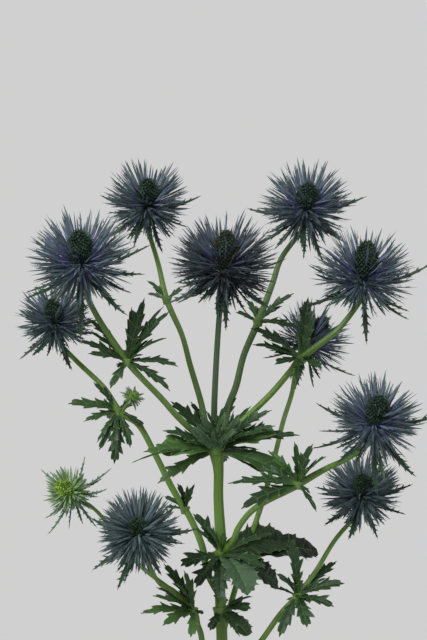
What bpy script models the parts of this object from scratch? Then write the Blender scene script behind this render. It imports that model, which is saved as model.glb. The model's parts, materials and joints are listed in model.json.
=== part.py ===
"""A spray of sea holly standing in a clear glass bottle of water.

The spray has four cut stems with eleven flower heads and one bud. Each head is a
ribbed cone of florets over a ruff of needle bracts and toothed spiny bracts, and
leaves stand in whorls where the stems fork. Sizes below are in millimetres, with
the origin at the centre of the bottle's flat base and +Z up.
"""

import math
import random

import bmesh
import bpy
from mathutils import Matrix, Vector
from mathutils.bvhtree import BVHTree

MM = 0.001
GAP = 0.3

BOTTLE_HEIGHT = 200.0
BOTTLE_RADIUS = 38.0
BOTTLE_WALL = 3.0
BOTTLE_FLOOR = 5.0
BODY_TOP = 122.0
NECK_START = 160.0
NECK_RADIUS = 19.0
LIP_RADIUS = 21.5
LIP_HEIGHT = 9.0
BOTTLE_SIDES = 20
WATER_TOP = 112.0

STEM_SIDES = 6
STEM_STEP = 18.0
BLADE_THICKNESS = 0.8
LEAF_CUT = 0.6
NARROW_LEAF = 8.0
BROAD_LEAF = 16.0
FLORET_LIFT = 0.7
FLORET_VALLEY = 0.8
COLLAR_WALL = 1.2
COLLAR_HALF = 1.7
NEEDLE_WIDTH = 1.5
RECEPTACLE_DEPTH = 9.0
CROWN_SHARE = 0.26
CROWN_SLOPES = (32.0, 50.0)
CROWN_ROOT = 0.1
LONG_SLOPES = (80, 112, 140, 100, 124, 92, 146, 116)
SEED = 11

# Stem routes, foot to tip: x, y, z and the radius there. The head's neck is added
# to a route that ends in a flower.
MAIN_STEM = [
    (4, -5, 5.6, 3.3), (2, -2, 110, 3.3), (1, 0, 190, 3.2), (1, 0, 215, 3.2),
    (-0.5, 0, 255, 3.05), (0.5, 0, 267, 3.3), (-1, 0, 296, 2.85), (-1, 0, 313, 2.95),
    (-2.5, 0, 326, 4.4), (-2.5, 0, 333, 4.05),
]
BACK_STEM = [
    (-8, 10, 5.6, 1.75), (-2, 10.5, 110, 1.75), (0, 9.5, 190, 1.7), (1, 9.5, 214, 1.7),
    (15, 14, 264, 1.6), (26, 20, 297, 1.55), (33, 25, 323, 1.45), (37.5, 29, 341, 1.4),
    (43, 35, 358, 1.35),
]
RIGHT_STEM = [
    (11, 7, 5.6, 1.65), (9, 5, 110, 1.65), (9.5, 4, 178, 1.65), (12.2, 3, 200, 1.6),
    (24, 2, 214.5, 1.6), (35, 4, 229.5, 1.6), (45, 6, 240, 1.65), (56, 10, 254, 1.4),
    (68, 18, 272, 1.3),
]
LEFT_STEM = [
    (-12, -9, 5.6, 1.85), (-9, -6, 110, 1.85), (-10, -5.5, 190, 1.75), (-10.5, -5, 215, 1.7),
    (-13, -5, 224.5, 1.65), (-15.5, -6, 233, 1.75), (-27.5, -10, 245, 1.5),
    (-36, -15, 251, 1.2),
]
BRANCHES = {
    "upper_left": [
        (-2.5, 0, 330, 2.0), (-8, 3, 339.5, 1.85), (-11.5, 8, 354, 1.75), (-17.5, 15, 374, 1.65),
        (-22.5, 21, 392, 1.55), (-31.5, 28, 412.5, 1.75), (-37, 36, 435, 1.4),
    ],
    "upper_right": [
        (-2.5, 0, 330, 2.2), (2.5, 3, 339.5, 2.1), (5, 7, 351, 2.0), (9.5, 12, 362.5, 1.95),
        (14, 19, 380, 1.85), (22.5, 28, 399.5, 2.0), (31, 37, 421.5, 1.75), (37, 42, 438, 1.55),
    ],
    "left": [
        (-2.5, 0, 330, 1.9), (-13.5, -4, 335, 1.8), (-23.5, -9, 344, 1.8), (-34, -14, 356, 1.7),
        (-44, -19, 366.5, 1.65), (-53, -22, 377, 1.9), (-67, -23, 397.5, 1.7), (-75.5, -23, 413, 1.55),
    ],
    "right": [
        (-2.5, 0, 330, 2.1), (8.5, -3, 338.5, 1.9), (15.5, -4, 344.5, 1.85), (29, -6, 357.5, 1.75),
        (40.5, -8, 371, 1.75), (46.5, -8, 378.5, 2.1), (59, -8, 388, 1.7), (69, -7, 396, 1.6),
    ],
    "centre": [
        (-2.5, 0, 330, 2.05), (-3.5, -2, 345.5, 1.8), (-2.5, -10, 372, 1.7), (-1, -20, 397, 1.6),
    ],
    "side_right": [
        (0.5, 0, 264, 1.85), (7.5, -8, 273.5, 1.8), (10.5, -12, 281, 1.7), (17, -16, 290, 1.7),
        (25.5, -20, 296.5, 1.7), (37, -24, 302.5, 1.7), (44.5, -26, 307, 2.1), (60, -28, 316, 1.65),
        (73, -26, 322, 1.5),
    ],
    "side_left": [
        (-1, 0, 242, 2.0), (-7.5, 3, 254, 1.95), (-10.5, 6, 269, 1.95), (-17.5, 10, 285, 1.85),
        (-28, 14, 302, 1.85), (-39, 18, 323.5, 1.75), (-48, 20, 339, 1.75), (-59.5, 22, 347, 2.1),
        (-69, 27, 361, 1.6), (-85, 34, 376, 1.45),
    ],
    "bud": [(-59.5, 22, 345, 1.2), (-56, 20, 349, 1.1)],
    "low_left": [
        (-26, -9, 243.5, 1.35), (-46.5, 3, 258, 1.2), (-59.5, 6, 272.5, 1.15), (-68, 7, 285, 1.05),
        (-76, 5, 293, 1.0),
    ],
}

# Heads: place of the cone's foot, direction it faces, cone length and radius, reach of
# the needles and of the long toothed bracts, and how many of each.
HEADS = {
    "centre": ((2, -38, 431), (0.08, -0.42, 0.9), (20, 7.0), 34, 40, 29, 8),
    "left": ((-78.5, -38, 433), (-0.03, -0.6, 0.8), (20, 7.2), 34, 43, 29, 8),
    "side_right": ((87, -42, 343), (0.12, -0.62, 0.77), (18, 6.4), 30, 43, 28, 8),
    "right": ((82, -14, 425), (0.1, -0.4, 0.91), (21, 7.0), 33, 41, 29, 8),
    "upper_left": ((-43, 25, 469), (0.06, -0.66, 0.75), (17, 6.2), 29, 35, 27, 7),
    "upper_right": ((51, 30, 467), (0.06, -0.66, 0.75), (17, 6.4), 31, 39, 27, 7),
    "low_front": ((-46, -40, 281), (-0.05, -0.85, 0.52), (13.5, 5.0), 27, 37, 26, 7),
    "low_right": ((82.5, 6, 299.5), (-0.02, -0.72, 0.69), (15, 5.6), 27, 33, 26, 7),
    "side_left": ((-97, 22, 399.5), (-0.1, -0.58, 0.81), (15, 5.4), 26, 31, 26, 7),
    "back": ((54, 41, 388), (0.55, 0.15, 0.82), (16, 5.8), 27, 35, 26, 7),
    "low_left": ((-87.5, -6, 301.5), (-0.4, -0.82, 0.4), (11.5, 4.6), 16, 29, 24, 7),
}
BUD_FOOT = (-52, 17, 354)
BUD_AXIS = (0.5, -0.5, 0.7)
BUD_RADIUS = 3.2
BUD_SEAT = 0.9

# Leaf whorls: the stem joint they clasp, its radius, and each leaf's tip and width.
WHORLS = {
    "hub": ((-2.5, 0, 325.5), 4.5, [
        (-33.5, -12, 337, 11), (-44.5, -20, 325, 12), (-36.5, -10, 306, 11), (-29, 5, 353.5, 12),
        (-36, -16, 325, 18), (30, -15, 349, 11), (32, -18, 340, 11), (46.5, -8, 334, 12),
        (33, -15, 335, 17), (40, -22, 309.5, 15),
        (-8.5, -15, 349, 6), (3, -17, 352, 6), (11.5, 13, 362, 6), (-17.5, 15, 353, 7.5),
        (-14, 34, 334, 11), (16, 34, 336, 11), (2.5, 30, 316, 10),
    ]),
    "left_branch": ((-53, -22, 377), 1.95, [
        (-43, -26, 413.5, 10), (-50.5, -21, 408.5, 6), (-27.5, -32, 406.5, 10),
        (-30, -38, 390.5, 7.5), (-23.5, -34, 374, 10), (-28, -38, 360, 9),
        (-62.5, -32, 361.5, 7.5), (-75, -36, 381.5, 9), (-82, -28, 389, 7.5),
        (-77, -16, 402, 7.5), (-46.5, 0, 380, 9), (-66, -2, 383, 7.5),
    ]),
    "low_left_branch": ((-59.5, 22, 347), 2.1, [
        (-89.5, 16, 351.5, 11), (-80, 13, 341, 7.5), (-75, 25, 364, 6), (-62, 14, 316, 11),
        (-71, 17, 324, 7.5), (-52.5, 14, 325.5, 7.5), (-44, 14, 337, 6), (-66, 42, 341, 9),
        (-50, 40, 353, 7.5),
    ]),
    "right_branch": ((46.5, -8, 378.5), 2.1, [
        (17, -16, 396, 11), (18, -20, 386.5, 9), (31, -20, 375, 7.5), (51, -4, 414, 11),
        (58.5, -20, 373, 7.5), (43.5, -20, 366, 7.5),
    ]),
    "back_right_branch": ((22.5, 28, 399.5), 2.0, [
        (44, 22, 416.5, 7.5), (45.5, 20, 396, 9), (9, 27, 405, 6), (17, 42, 412, 6),
    ]),
    "back_left_branch": ((-31.5, 28, 412.5), 1.75, [
        (-43, 23, 416, 5), (-43.5, 30, 424, 5), (-22, 34, 419, 5),
    ]),
    "right_side_branch": ((44.5, -26, 307), 2.1, [
        (4, -34, 308, 11), (22, -20, 316, 9), (11.5, -41, 294, 12.5), (27, -17, 326, 7.5),
        (42, -32, 332, 7.5), (52.5, -38, 331, 9), (60, -42, 324, 7.5), (54.5, -38, 292, 5),
        (37, -8, 314, 7.5), (53, -4, 309, 7.5),
    ]),
    "right_stem": ((45, 6, 240), 1.65, [
        (39.5, 0, 276, 11), (32, -4, 254, 7.5), (34, -8, 217.5, 10), (50, -11, 223.5, 12.5),
        (72.5, -2, 248, 11), (66, -8, 235, 10), (69, 20, 259, 9), (46, 27, 247, 9),
        (42, 25, 230, 9),
    ]),
    "main_joint": ((0.5, 0, 265), 3.3, [
        (15.5, -20, 243, 23), (26, -16, 258, 12), (0, -23, 240, 12), (-8, -14, 281, 13),
        (-23, -13, 259, 13), (-14, -17, 247, 12), (-16, -7, 289, 11), (38.5, 22, 271, 25),
        (58, 30, 263, 22), (34, 18, 245, 21), (-4.5, 25, 259, 9),
    ]),
    "side_joint": ((-20.5, 11.3, 290), 1.85, [
        (-16, 8, 304, 5), (-25, 4, 306, 6), (-33, 17, 297, 6),
    ]),
    "main_foot": ((0, 0, 232.5), 3.15, [
        (-6, -9, 254, 8), (-6, -13, 222, 8), (18, -11, 234.5, 12), (16, -12, 219, 14),
        (2, 19, 238, 7.5),
    ]),
    "left_stem": ((-15.5, -6, 233), 1.75, [
        (-46, -15, 232, 11), (-39, -20, 243, 7.5), (-33, -22, 226, 9), (-21, -13, 257, 7.5),
        (-26, -18, 250, 7.5), (-33, 4, 259, 9), (-17, -20, 219, 7.5), (-21, 12, 226, 7.5),
    ]),
}


def material(name, colour, roughness=0.5, **inputs):
    """A Principled material of one plain colour."""
    made = bpy.data.materials.new(name)
    made.use_nodes = True
    shader = made.node_tree.nodes["Principled BSDF"]
    shader.inputs["Base Color"].default_value = (*colour, 1.0)
    shader.inputs["Roughness"].default_value = roughness
    for socket, value in inputs.items():
        shader.inputs[socket.replace("_", " ")].default_value = value
    return made


def solid(name, points, faces):
    """A mesh object from points in millimetres, with its faces turned outwards."""
    mesh = bpy.data.meshes.new(name)
    mesh.from_pydata([Vector(p) * MM for p in points], [], faces)
    work = bmesh.new()
    work.from_mesh(mesh)
    bmesh.ops.recalc_face_normals(work, faces=work.faces)
    work.to_mesh(mesh)
    work.free()
    made = bpy.data.objects.new(name, mesh)
    bpy.context.scene.collection.objects.link(made)
    return made


def lathe(name, profile, sides):
    """A solid turned round Z from (radius, height) pairs; a radius of 0 is a pole."""
    points = []
    rings = []
    for radius, height in profile:
        count = sides if radius > 0 else 1
        rings.append(list(range(len(points), len(points) + count)))
        for k in range(count):
            angle = 2 * math.pi * k / sides
            points.append((radius * math.cos(angle), radius * math.sin(angle), height))
    faces = []
    for low, high in zip(rings, rings[1:]):
        for k in range(sides):
            ring = [low[k % len(low)], low[(k + 1) % len(low)]]
            ring += [high[(k + 1) % len(high)], high[k % len(high)]]
            corners = list(dict.fromkeys(ring))
            if len(corners) > 2:
                faces.append(corners)
    return solid(name, points, faces)


def smooth_route(route):
    """Points on a smooth curve through the route's own points, one or two to each span."""
    ends = [route[0], *route, route[-1]]
    found = []
    for i in range(1, len(ends) - 2):
        a, b, c, d = (Vector(p) for p in ends[i - 1 : i + 3])
        pieces = min(2, max(1, round((c - b).length / STEM_STEP)))
        for k in range(pieces):
            t = k / pieces
            bend = (2 * a - 5 * b + 4 * c - d) * t**2 + (3 * b - a - 3 * c + d) * t**3
            found.append(0.5 * (2 * b + (c - a) * t + bend))
    return [*found, Vector(route[-1])]


def tube(name, route, extra=0.0, sides=STEM_SIDES):
    """A stem along a route of (x, y, z, radius) points, its ends closed flat."""
    stations = smooth_route(route)
    centres = [station.xyz for station in stations]
    points = []
    across = Vector((1, 0, 0))
    for i, centre in enumerate(centres):
        along = (centres[min(i + 1, len(centres) - 1)] - centres[max(i - 1, 0)]).normalized()
        across = (across - along * across.dot(along)).normalized()
        up = along.cross(across)
        end = extra * along * ((i == len(centres) - 1) - (i == 0))
        for k in range(sides):
            angle = 2 * math.pi * k / sides
            spoke = across * math.cos(angle) + up * math.sin(angle)
            points.append(centre + end + spoke * (stations[i][3] + extra))
    faces = [list(range(sides)), list(range(len(points) - sides, len(points)))]
    for i in range(len(centres) - 1):
        for k in range(sides):
            here, there = i * sides, (i + 1) * sides
            after = (k + 1) % sides
            faces.append([here + k, here + after, there + after, there + k])
    return solid(name, points, faces)


def blade(name, route, widths, facing):
    """A thin closed blade along a route, its width given at each point but the tip."""
    points = []
    for i, (centre, width) in enumerate(zip(route, widths)):
        along = (route[i + 1] - route[max(i - 1, 0)]).normalized()
        side = along.cross(facing).normalized()
        face = side.cross(along).normalized() * BLADE_THICKNESS / 2
        for reach in (-width / 2, width / 2):
            points += [centre + side * reach + face, centre + side * reach - face]
    tip = len(points)
    points += [route[-1] + face, route[-1] - face]
    faces = [[0, 2, 3], [0, 3, 1]]
    for i in range(len(widths) - 1):
        a = 4 * i
        b = a + 4
        faces += [[a, a + 2, b + 2], [a, b + 2, b], [a + 1, a + 3, b + 3], [a + 1, b + 3, b + 1]]
        faces += [[a, a + 1, b + 1, b], [a + 2, a + 3, b + 3, b + 2]]
    a = tip - 4
    faces += [[a, a + 2, tip], [a + 1, a + 3, tip + 1]]
    faces += [[a, a + 1, tip + 1, tip], [a + 2, a + 3, tip + 1, tip]]
    return solid(name, points, faces)


def toothed(width, root, teeth):
    """Stations from 0 to 1 along a leaf, with the widths that cut its edge into teeth."""
    stations = [0.0]
    widths = [root]
    first = 0.2
    pitch = (0.86 - first) / teeth
    for k in range(teeth):
        for place, cut in ((first + pitch * k, LEAF_CUT), (first + pitch * (k + 0.72), 1.0)):
            swell = math.sin(math.pi * min(1.0, 0.2 + place * 0.86))
            stations.append(place)
            widths.append(max(1.3, width * cut * swell))
    return [*stations, 1.0], widths


def arched(start, end, lift, stations, facing):
    """Points at the given shares of the way from start to end, raised in an arch."""
    start, end = Vector(start), Vector(end)
    rise = facing * lift * (end - start).length
    return [start.lerp(end, t) + rise * 4 * t * (1 - t) for t in stations]


def needle(name, root, tip, width):
    """A three-sided spike from a sunk root to a sharp tip."""
    root, tip = Vector(root), Vector(tip)
    along = (tip - root).normalized()
    side = along.orthogonal().normalized()
    points = [root + Matrix.Rotation(math.tau * k / 3, 3, along) @ side * width / 2 for k in range(3)]
    return solid(name, [*points, tip], [[0, 1, 2], [0, 1, 3], [1, 2, 3], [2, 0, 3]])


def boolean(base, others, operation):
    """Joins or cuts base with other objects in one step, and removes them."""
    group = bpy.data.collections.new("operands")
    bpy.context.scene.collection.children.link(group)
    for other in others:
        for holder in list(other.users_collection):
            holder.objects.unlink(other)
        group.objects.link(other)
    modifier = base.modifiers.new("join", "BOOLEAN")
    modifier.operation = operation
    modifier.solver = "EXACT"
    modifier.operand_type = "COLLECTION"
    modifier.collection = group
    graph = bpy.context.evaluated_depsgraph_get()
    joined = bpy.data.meshes.new_from_object(base.evaluated_get(graph))
    base.modifiers.clear()
    base.data = joined
    for other in list(group.objects):
        bpy.data.objects.remove(other, do_unlink=True)
    bpy.data.collections.remove(group)


def largest_body(item):
    """Drops the loose scraps that a cut leaves beside the largest body."""
    work = bmesh.new()
    work.from_mesh(item.data)
    left = set(work.faces)
    bodies = []
    while left:
        body = set()
        front = [left.pop()]
        while front:
            face = front.pop()
            body.add(face)
            for edge in face.edges:
                for near in edge.link_faces:
                    if near in left:
                        left.discard(near)
                        front.append(near)
        bodies.append(body)
    keep = max(bodies, key=lambda body: sum(face.calc_area() for face in body))
    scraps = [face for body in bodies if body is not keep for face in body]
    bmesh.ops.delete(work, geom=scraps, context="FACES")
    work.to_mesh(item.data)
    work.free()


def finished(item, name, finish, angle=35):
    """Names a piece, gives it its one material and shades its round faces smooth."""
    item.name = name
    item.data.name = name
    item.data.materials.clear()
    item.data.materials.append(finish)
    for polygon in item.data.polygons:
        polygon.material_index = 0
    item.data.shade_smooth()
    item.data.set_sharp_from_angle(angle=math.radians(angle))
    return item


class Clearance:
    """What already stands in the spray, and how near a new spike comes to it."""

    def __init__(self):
        self.trees = []

    def add(self, item):
        points = [item.matrix_world @ vertex.co for vertex in item.data.vertices]
        self.trees.append(BVHTree.FromPolygons(points, [face.vertices[:] for face in item.data.polygons]))

    def is_free(self, start, end, room, from_share):
        samples = 14
        for k in range(samples + 1):
            share = from_share + (1 - from_share) * k / samples
            place = start.lerp(end, share) * MM
            for tree in self.trees:
                if tree.find_nearest(place, room * MM)[0] is not None:
                    return False
        return True


def head_matrix(foot, axis):
    """Places a head's own frame, cone along +Z, at its foot, facing along its axis."""
    turn = Vector(axis).normalized().to_track_quat("Z", "Y").to_matrix().to_4x4()
    return Matrix.Translation(Vector(foot) * MM) @ turn


def neck(foot, axis, radius):
    """The last stretch of a stem, which runs into the back of a head along its axis."""
    axis = Vector(axis).normalized()
    near = Vector(foot) - axis * (RECEPTACLE_DEPTH + 6)
    end = Vector(foot) - axis * (RECEPTACLE_DEPTH + GAP)
    return [(*near, radius), (*end, radius + 0.3)]


def make_bottle(finish):
    """A plain round bottle: straight body, curved shoulder, short neck and rolled lip."""
    shoulder_steps = 4
    outer = [(0, 0), (BOTTLE_RADIUS - 3, 0), (BOTTLE_RADIUS, 3), (BOTTLE_RADIUS, BODY_TOP)]
    inner = []
    for k in range(1, shoulder_steps + 1):
        turn = (1 - math.cos(math.pi * k / shoulder_steps)) / 2
        height = BODY_TOP + (NECK_START - BODY_TOP) * k / shoulder_steps
        outer.append((BOTTLE_RADIUS + (NECK_RADIUS - BOTTLE_RADIUS) * turn, height))
        inner.append((outer[-1][0] - BOTTLE_WALL, height))
    lip_foot = BOTTLE_HEIGHT - LIP_HEIGHT
    outer += [(NECK_RADIUS, lip_foot - 2), (LIP_RADIUS, lip_foot), (LIP_RADIUS, BOTTLE_HEIGHT - 2)]
    outer += [(LIP_RADIUS - 2, BOTTLE_HEIGHT), (NECK_RADIUS - BOTTLE_WALL, BOTTLE_HEIGHT)]
    inside = BOTTLE_RADIUS - BOTTLE_WALL
    inner = [*reversed(inner), (inside, BODY_TOP), (inside, BOTTLE_FLOOR + 4)]
    inner += [(inside - 4, BOTTLE_FLOOR), (0, BOTTLE_FLOOR)]
    return finished(lathe("bottle", outer + inner, BOTTLE_SIDES), "bottle", finish)


def make_water(stem_cutters, finish):
    """Water up to the bottle's shoulder, with a plain hole round each stem."""
    radius = BOTTLE_RADIUS - BOTTLE_WALL - GAP
    foot = BOTTLE_FLOOR + GAP
    profile = [(0, foot), (radius - 4, foot), (radius, foot + 4), (radius, WATER_TOP), (0, WATER_TOP)]
    water = lathe("water", profile, BOTTLE_SIDES)
    boolean(water, stem_cutters, "DIFFERENCE")
    return finished(water, "water", finish)


def stem_routes():
    """Every stem as its list of tubes: the stem itself, then the branches it bears."""
    routes = {
        "stem_main": [MAIN_STEM],
        "stem_back": [BACK_STEM + neck(*HEADS["back"][:2], BACK_STEM[-1][3])],
        "stem_right": [RIGHT_STEM + neck(*HEADS["low_right"][:2], RIGHT_STEM[-1][3])],
        "stem_left": [LEFT_STEM + neck(*HEADS["low_front"][:2], LEFT_STEM[-1][3])],
    }
    for name, route in BRANCHES.items():
        bearer = "stem_left" if name == "low_left" else "stem_main"
        if name == "bud":
            end = Vector(BUD_FOOT) - Vector(BUD_AXIS).normalized() * (BUD_SEAT + GAP)
            routes[bearer].append([*route, (*end, 1.0)])
        else:
            foot, axis = HEADS[name][:2]
            routes[bearer].append(route + neck(foot, axis, route[-1][3]))
    return routes


def make_stem(name, tubes, finish):
    """A stem and its branches, grown as one piece."""
    first, *rest = [tube(f"{name}_{i}", route) for i, route in enumerate(tubes)]
    if rest:
        boolean(first, rest, "UNION")
    return finished(first, name, finish, 60)


def make_whorl(name, joint, radius, leaves, cutters, finish):
    """Leaves that clasp a stem joint by a narrow collar, clear of every stem."""
    centre = Vector(joint)
    x, y, z = joint
    collar_radius = radius + COLLAR_WALL
    ends = [(x, y, z - COLLAR_HALF, collar_radius), (x, y, z + COLLAR_HALF, collar_radius)]
    collar = tube(name, ends, sides=8)
    blades = []
    for x, y, z, width in leaves:
        tip = Vector((x, y, z))
        along = (tip - centre).normalized()
        root = centre + along * radius * 0.6
        facing = Vector((0.12, -0.6, 0.8))
        facing = (facing - along * facing.dot(along)).normalized()
        teeth = 1 + (width > NARROW_LEAF) + (width > BROAD_LEAF)
        stations, widths = toothed(width, max(2.2, width * 0.3), teeth)
        blades.append(blade("leaf", arched(root, tip, 0.07, stations, facing), widths, facing))
    boolean(collar, blades, "UNION")
    boolean(collar, cutters, "DIFFERENCE")
    largest_body(collar)
    return finished(collar, name, finish)


def crown_needles(head, draw):
    """Spikes that grow from the cone's foot and rise round it, as (root, tip) pairs."""
    _, _, (length, _), reach, _, count, _ = head
    low, high = (math.radians(slope) for slope in CROWN_SLOPES)
    found = []
    for level, slope, turn in needle_directions(round(count * CROWN_SHARE), low, high, draw):
        spoke = Vector((math.cos(turn), math.sin(turn), 0))
        root = Vector((0, 0, length * CROWN_ROOT * (1 - 0.5 * level)))
        tip = (spoke * math.sin(slope) + Vector((0, 0, math.cos(slope)))) * reach * draw.uniform(0.94, 1.04)
        found.append((root, tip))
    return found


def make_cone(name, head, taken, draw, finish):
    """An egg-shaped cone: a lattice of florets, and long spikes that rise round it from its foot."""
    foot, axis, (length, radius) = head[:3]
    rows = 5
    around = 10
    points = [(0, 0, GAP)]
    rings = []
    for row in range(rows):
        share = row / (rows - 1)
        height = GAP + (length - GAP) * (0.02 + 0.9 * share)
        girth = radius * math.sin(math.pi * (0.26 + 0.62 * share)) ** 0.75
        rings.append(len(points))
        for k in range(around):
            raised = (k + row) % 2 and row > 0
            reach = girth * (1.0 if raised else FLORET_VALLEY)
            angle = math.tau * k / around
            rise = FLORET_LIFT if raised else 0
            points.append((reach * math.cos(angle), reach * math.sin(angle), height + rise))
    points.append((0, 0, length))
    faces = []
    for k in range(around):
        after = (k + 1) % around
        faces.append([0, rings[0] + after, rings[0] + k])
        faces.append([len(points) - 1, rings[-1] + k, rings[-1] + after])
        for row, (low, high) in enumerate(zip(rings, rings[1:])):
            a, b, c, d = low + k, low + after, high + after, high + k
            if (k + row) % 2:
                faces += [[a, b, c], [a, c, d]]
            else:
                faces += [[a, b, d], [b, c, d]]
    cone = solid(name, points, faces)
    place = head_matrix(foot, axis)
    spikes = []
    for root, tip in crown_needles(head, draw):
        start, end = (place @ (p * MM) / MM for p in (root, tip))
        if taken.is_free(start, end, 1.1, 0.1):
            spikes.append(needle("needle", root, tip, NEEDLE_WIDTH))
    boolean(cone, spikes, "UNION")
    cone.matrix_world = place
    return finished(cone, name, finish, 25)


def needle_directions(count, low, high, draw):
    """Evenly spread (slope, turn) pairs: rings of needles from near the cone to below it."""
    rings = 5
    slopes = [low + (high - low) * k / (rings - 1) for k in range(rings)]
    total = sum(math.sin(slope) for slope in slopes)
    found = []
    for k, slope in enumerate(slopes):
        in_ring = max(3, round(count * math.sin(slope) / total))
        start = draw.uniform(0, math.tau)
        for n in range(in_ring):
            turn = start + math.tau * (n + draw.uniform(-0.15, 0.15)) / in_ring
            found.append((k / (rings - 1), slope + draw.uniform(-0.07, 0.07), turn))
    return found


def make_ruff(name, head, taken, draw, finish):
    """The receptacle with its needle bracts and the long toothed bracts beneath them."""
    foot, axis, (_, radius), needle_reach, long_reach, needles, long_bracts = head
    rim = radius + 1.0
    place = head_matrix(foot, axis)
    depth = RECEPTACLE_DEPTH
    profile = [(0, 0), (rim, 0), (rim * 0.78, -5.5), (3.2, -depth), (0, -depth)]
    core = lathe(name, list(reversed(profile)), 9)
    pieces = []

    def is_clear(root, tip, room):
        start, end = (place @ (Vector(p) * MM) / MM for p in (root, tip))
        return taken.is_free(start, end, room, 0.32)

    in_ruff = round(needles * (1 - CROWN_SHARE))
    for level, slope, turn in needle_directions(in_ruff, math.radians(56), math.radians(108), draw):
        spoke = Vector((math.cos(turn), math.sin(turn), 0))
        root = spoke * (rim - 2.2) + Vector((0, 0, -1.3 - 2.6 * level))
        reach = needle_reach * (1.02 - 0.12 * level) * draw.uniform(0.94, 1.05)
        tip = (spoke * math.sin(slope) + Vector((0, 0, math.cos(slope)))) * reach
        if is_clear(root, tip, 1.1):
            pieces.append(needle("needle", root, tip, NEEDLE_WIDTH))
    for k in range(long_bracts):
        turn = math.tau * (k + draw.uniform(-0.12, 0.12)) / long_bracts
        slope = math.radians(LONG_SLOPES[k] + draw.uniform(-6, 6))
        spoke = Vector((math.cos(turn), math.sin(turn), 0))
        root = spoke * rim * 0.5 + Vector((0, 0, -6))
        reach = long_reach * draw.uniform(0.9, 1.04)
        tip = (spoke * math.sin(slope) + Vector((0, 0, math.cos(slope)))) * reach
        if not is_clear(root, tip, 2.2):
            continue
        along = (tip - root).normalized()
        facing = (Vector((0, 0, 1)) - along * along.z).normalized()
        stations, widths = toothed(5.4, 2.6, 1)
        pieces.append(blade("bract", arched(root, tip, -0.05, stations, facing), widths, facing))
    boolean(core, pieces, "UNION")
    largest_body(core)
    core.matrix_world = place
    return finished(core, name, finish)


def make_bud(finish, taken, draw):
    """A closed green bud in a short star of bracts."""
    place = head_matrix(BUD_FOOT, BUD_AXIS)
    profile = [(0, -BUD_SEAT), (1.4, -BUD_SEAT), (BUD_RADIUS, 1.6), (BUD_RADIUS * 0.8, 4.4), (0, 6)]
    core = lathe("bud", profile, 8)
    pieces = []
    for level, slope, turn in needle_directions(14, math.radians(40), math.radians(95), draw):
        spoke = Vector((math.cos(turn), math.sin(turn), 0))
        root = spoke * BUD_RADIUS * 0.4 + Vector((0, 0, 2.2 - 1.4 * level))
        tip = (spoke * math.sin(slope) + Vector((0, 0, math.cos(slope)))) * 8.5
        start, end = (place @ (p * MM) / MM for p in (root, tip))
        if taken.is_free(start, end, 1.0, 0.4):
            pieces.append(needle("needle", root, tip, 1.3))
    boolean(core, pieces, "UNION")
    core.matrix_world = place
    return finished(core, "bud", finish)


def build():
    """Makes every piece, from the bottle up to the tips of the heads."""
    for item in list(bpy.data.objects):
        bpy.data.objects.remove(item, do_unlink=True)
    draw = random.Random(SEED)
    glass = material("bottle_glass", (0.86, 0.92, 0.9), 0.03, Transmission_Weight=1.0, IOR=1.5)
    clear_water = material("clear_water", (0.9, 0.95, 0.95), 0.02, Transmission_Weight=1.0, IOR=1.33)
    green_stem = material("stem_green", (0.16, 0.3, 0.09), 0.5)
    dark_leaf = material("leaf_green", (0.035, 0.09, 0.04), 0.5)
    slate_bract = material("bract_slate_blue", (0.075, 0.095, 0.19), 0.5)
    young_bract = material("bract_young_green", (0.2, 0.36, 0.14), 0.5)
    floret = material("floret_green", (0.03, 0.065, 0.05), 0.6)

    make_bottle(glass)
    routes = stem_routes()
    taken = Clearance()
    for name, tubes in routes.items():
        taken.add(make_stem(name, tubes, green_stem))

    def stem_cutters():
        return [tube("cutter", route, GAP) for tubes in routes.values() for route in tubes]

    make_water([tube("cutter", tubes[0][:3], GAP) for tubes in routes.values()], clear_water)
    for name, (joint, radius, leaves) in WHORLS.items():
        taken.add(make_whorl(f"leaves_{name}", joint, radius, leaves, stem_cutters(), dark_leaf))
    for name, head in HEADS.items():
        taken.add(make_cone(f"cone_{name}", head, taken, draw, floret))
    for name, head in HEADS.items():
        finish = young_bract if name == "low_left" else slate_bract
        taken.add(make_ruff(f"bracts_{name}", head, taken, draw, finish))
    make_bud(young_bract, taken, draw)


build()
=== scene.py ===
# %% [markdown]
# # Sea holly in a glass bottle
# Four cut stems of sea holly stand in a clear bottle of water. Each flower head is a small
# cone of florets over a ruff of narrow spiny bracts, and toothed leaves stand in whorls where
# the stems fork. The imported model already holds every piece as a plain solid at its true
# place. This script keeps those places and grows a finer piece over each solid: hundreds of
# bracts on a head, veins and teeth on a leaf, ribs on a stem.

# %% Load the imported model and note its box
import json
import math
import random

import bpy
import numpy as np
from mathutils import Matrix, Vector
from mathutils.bvhtree import BVHTree

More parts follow.
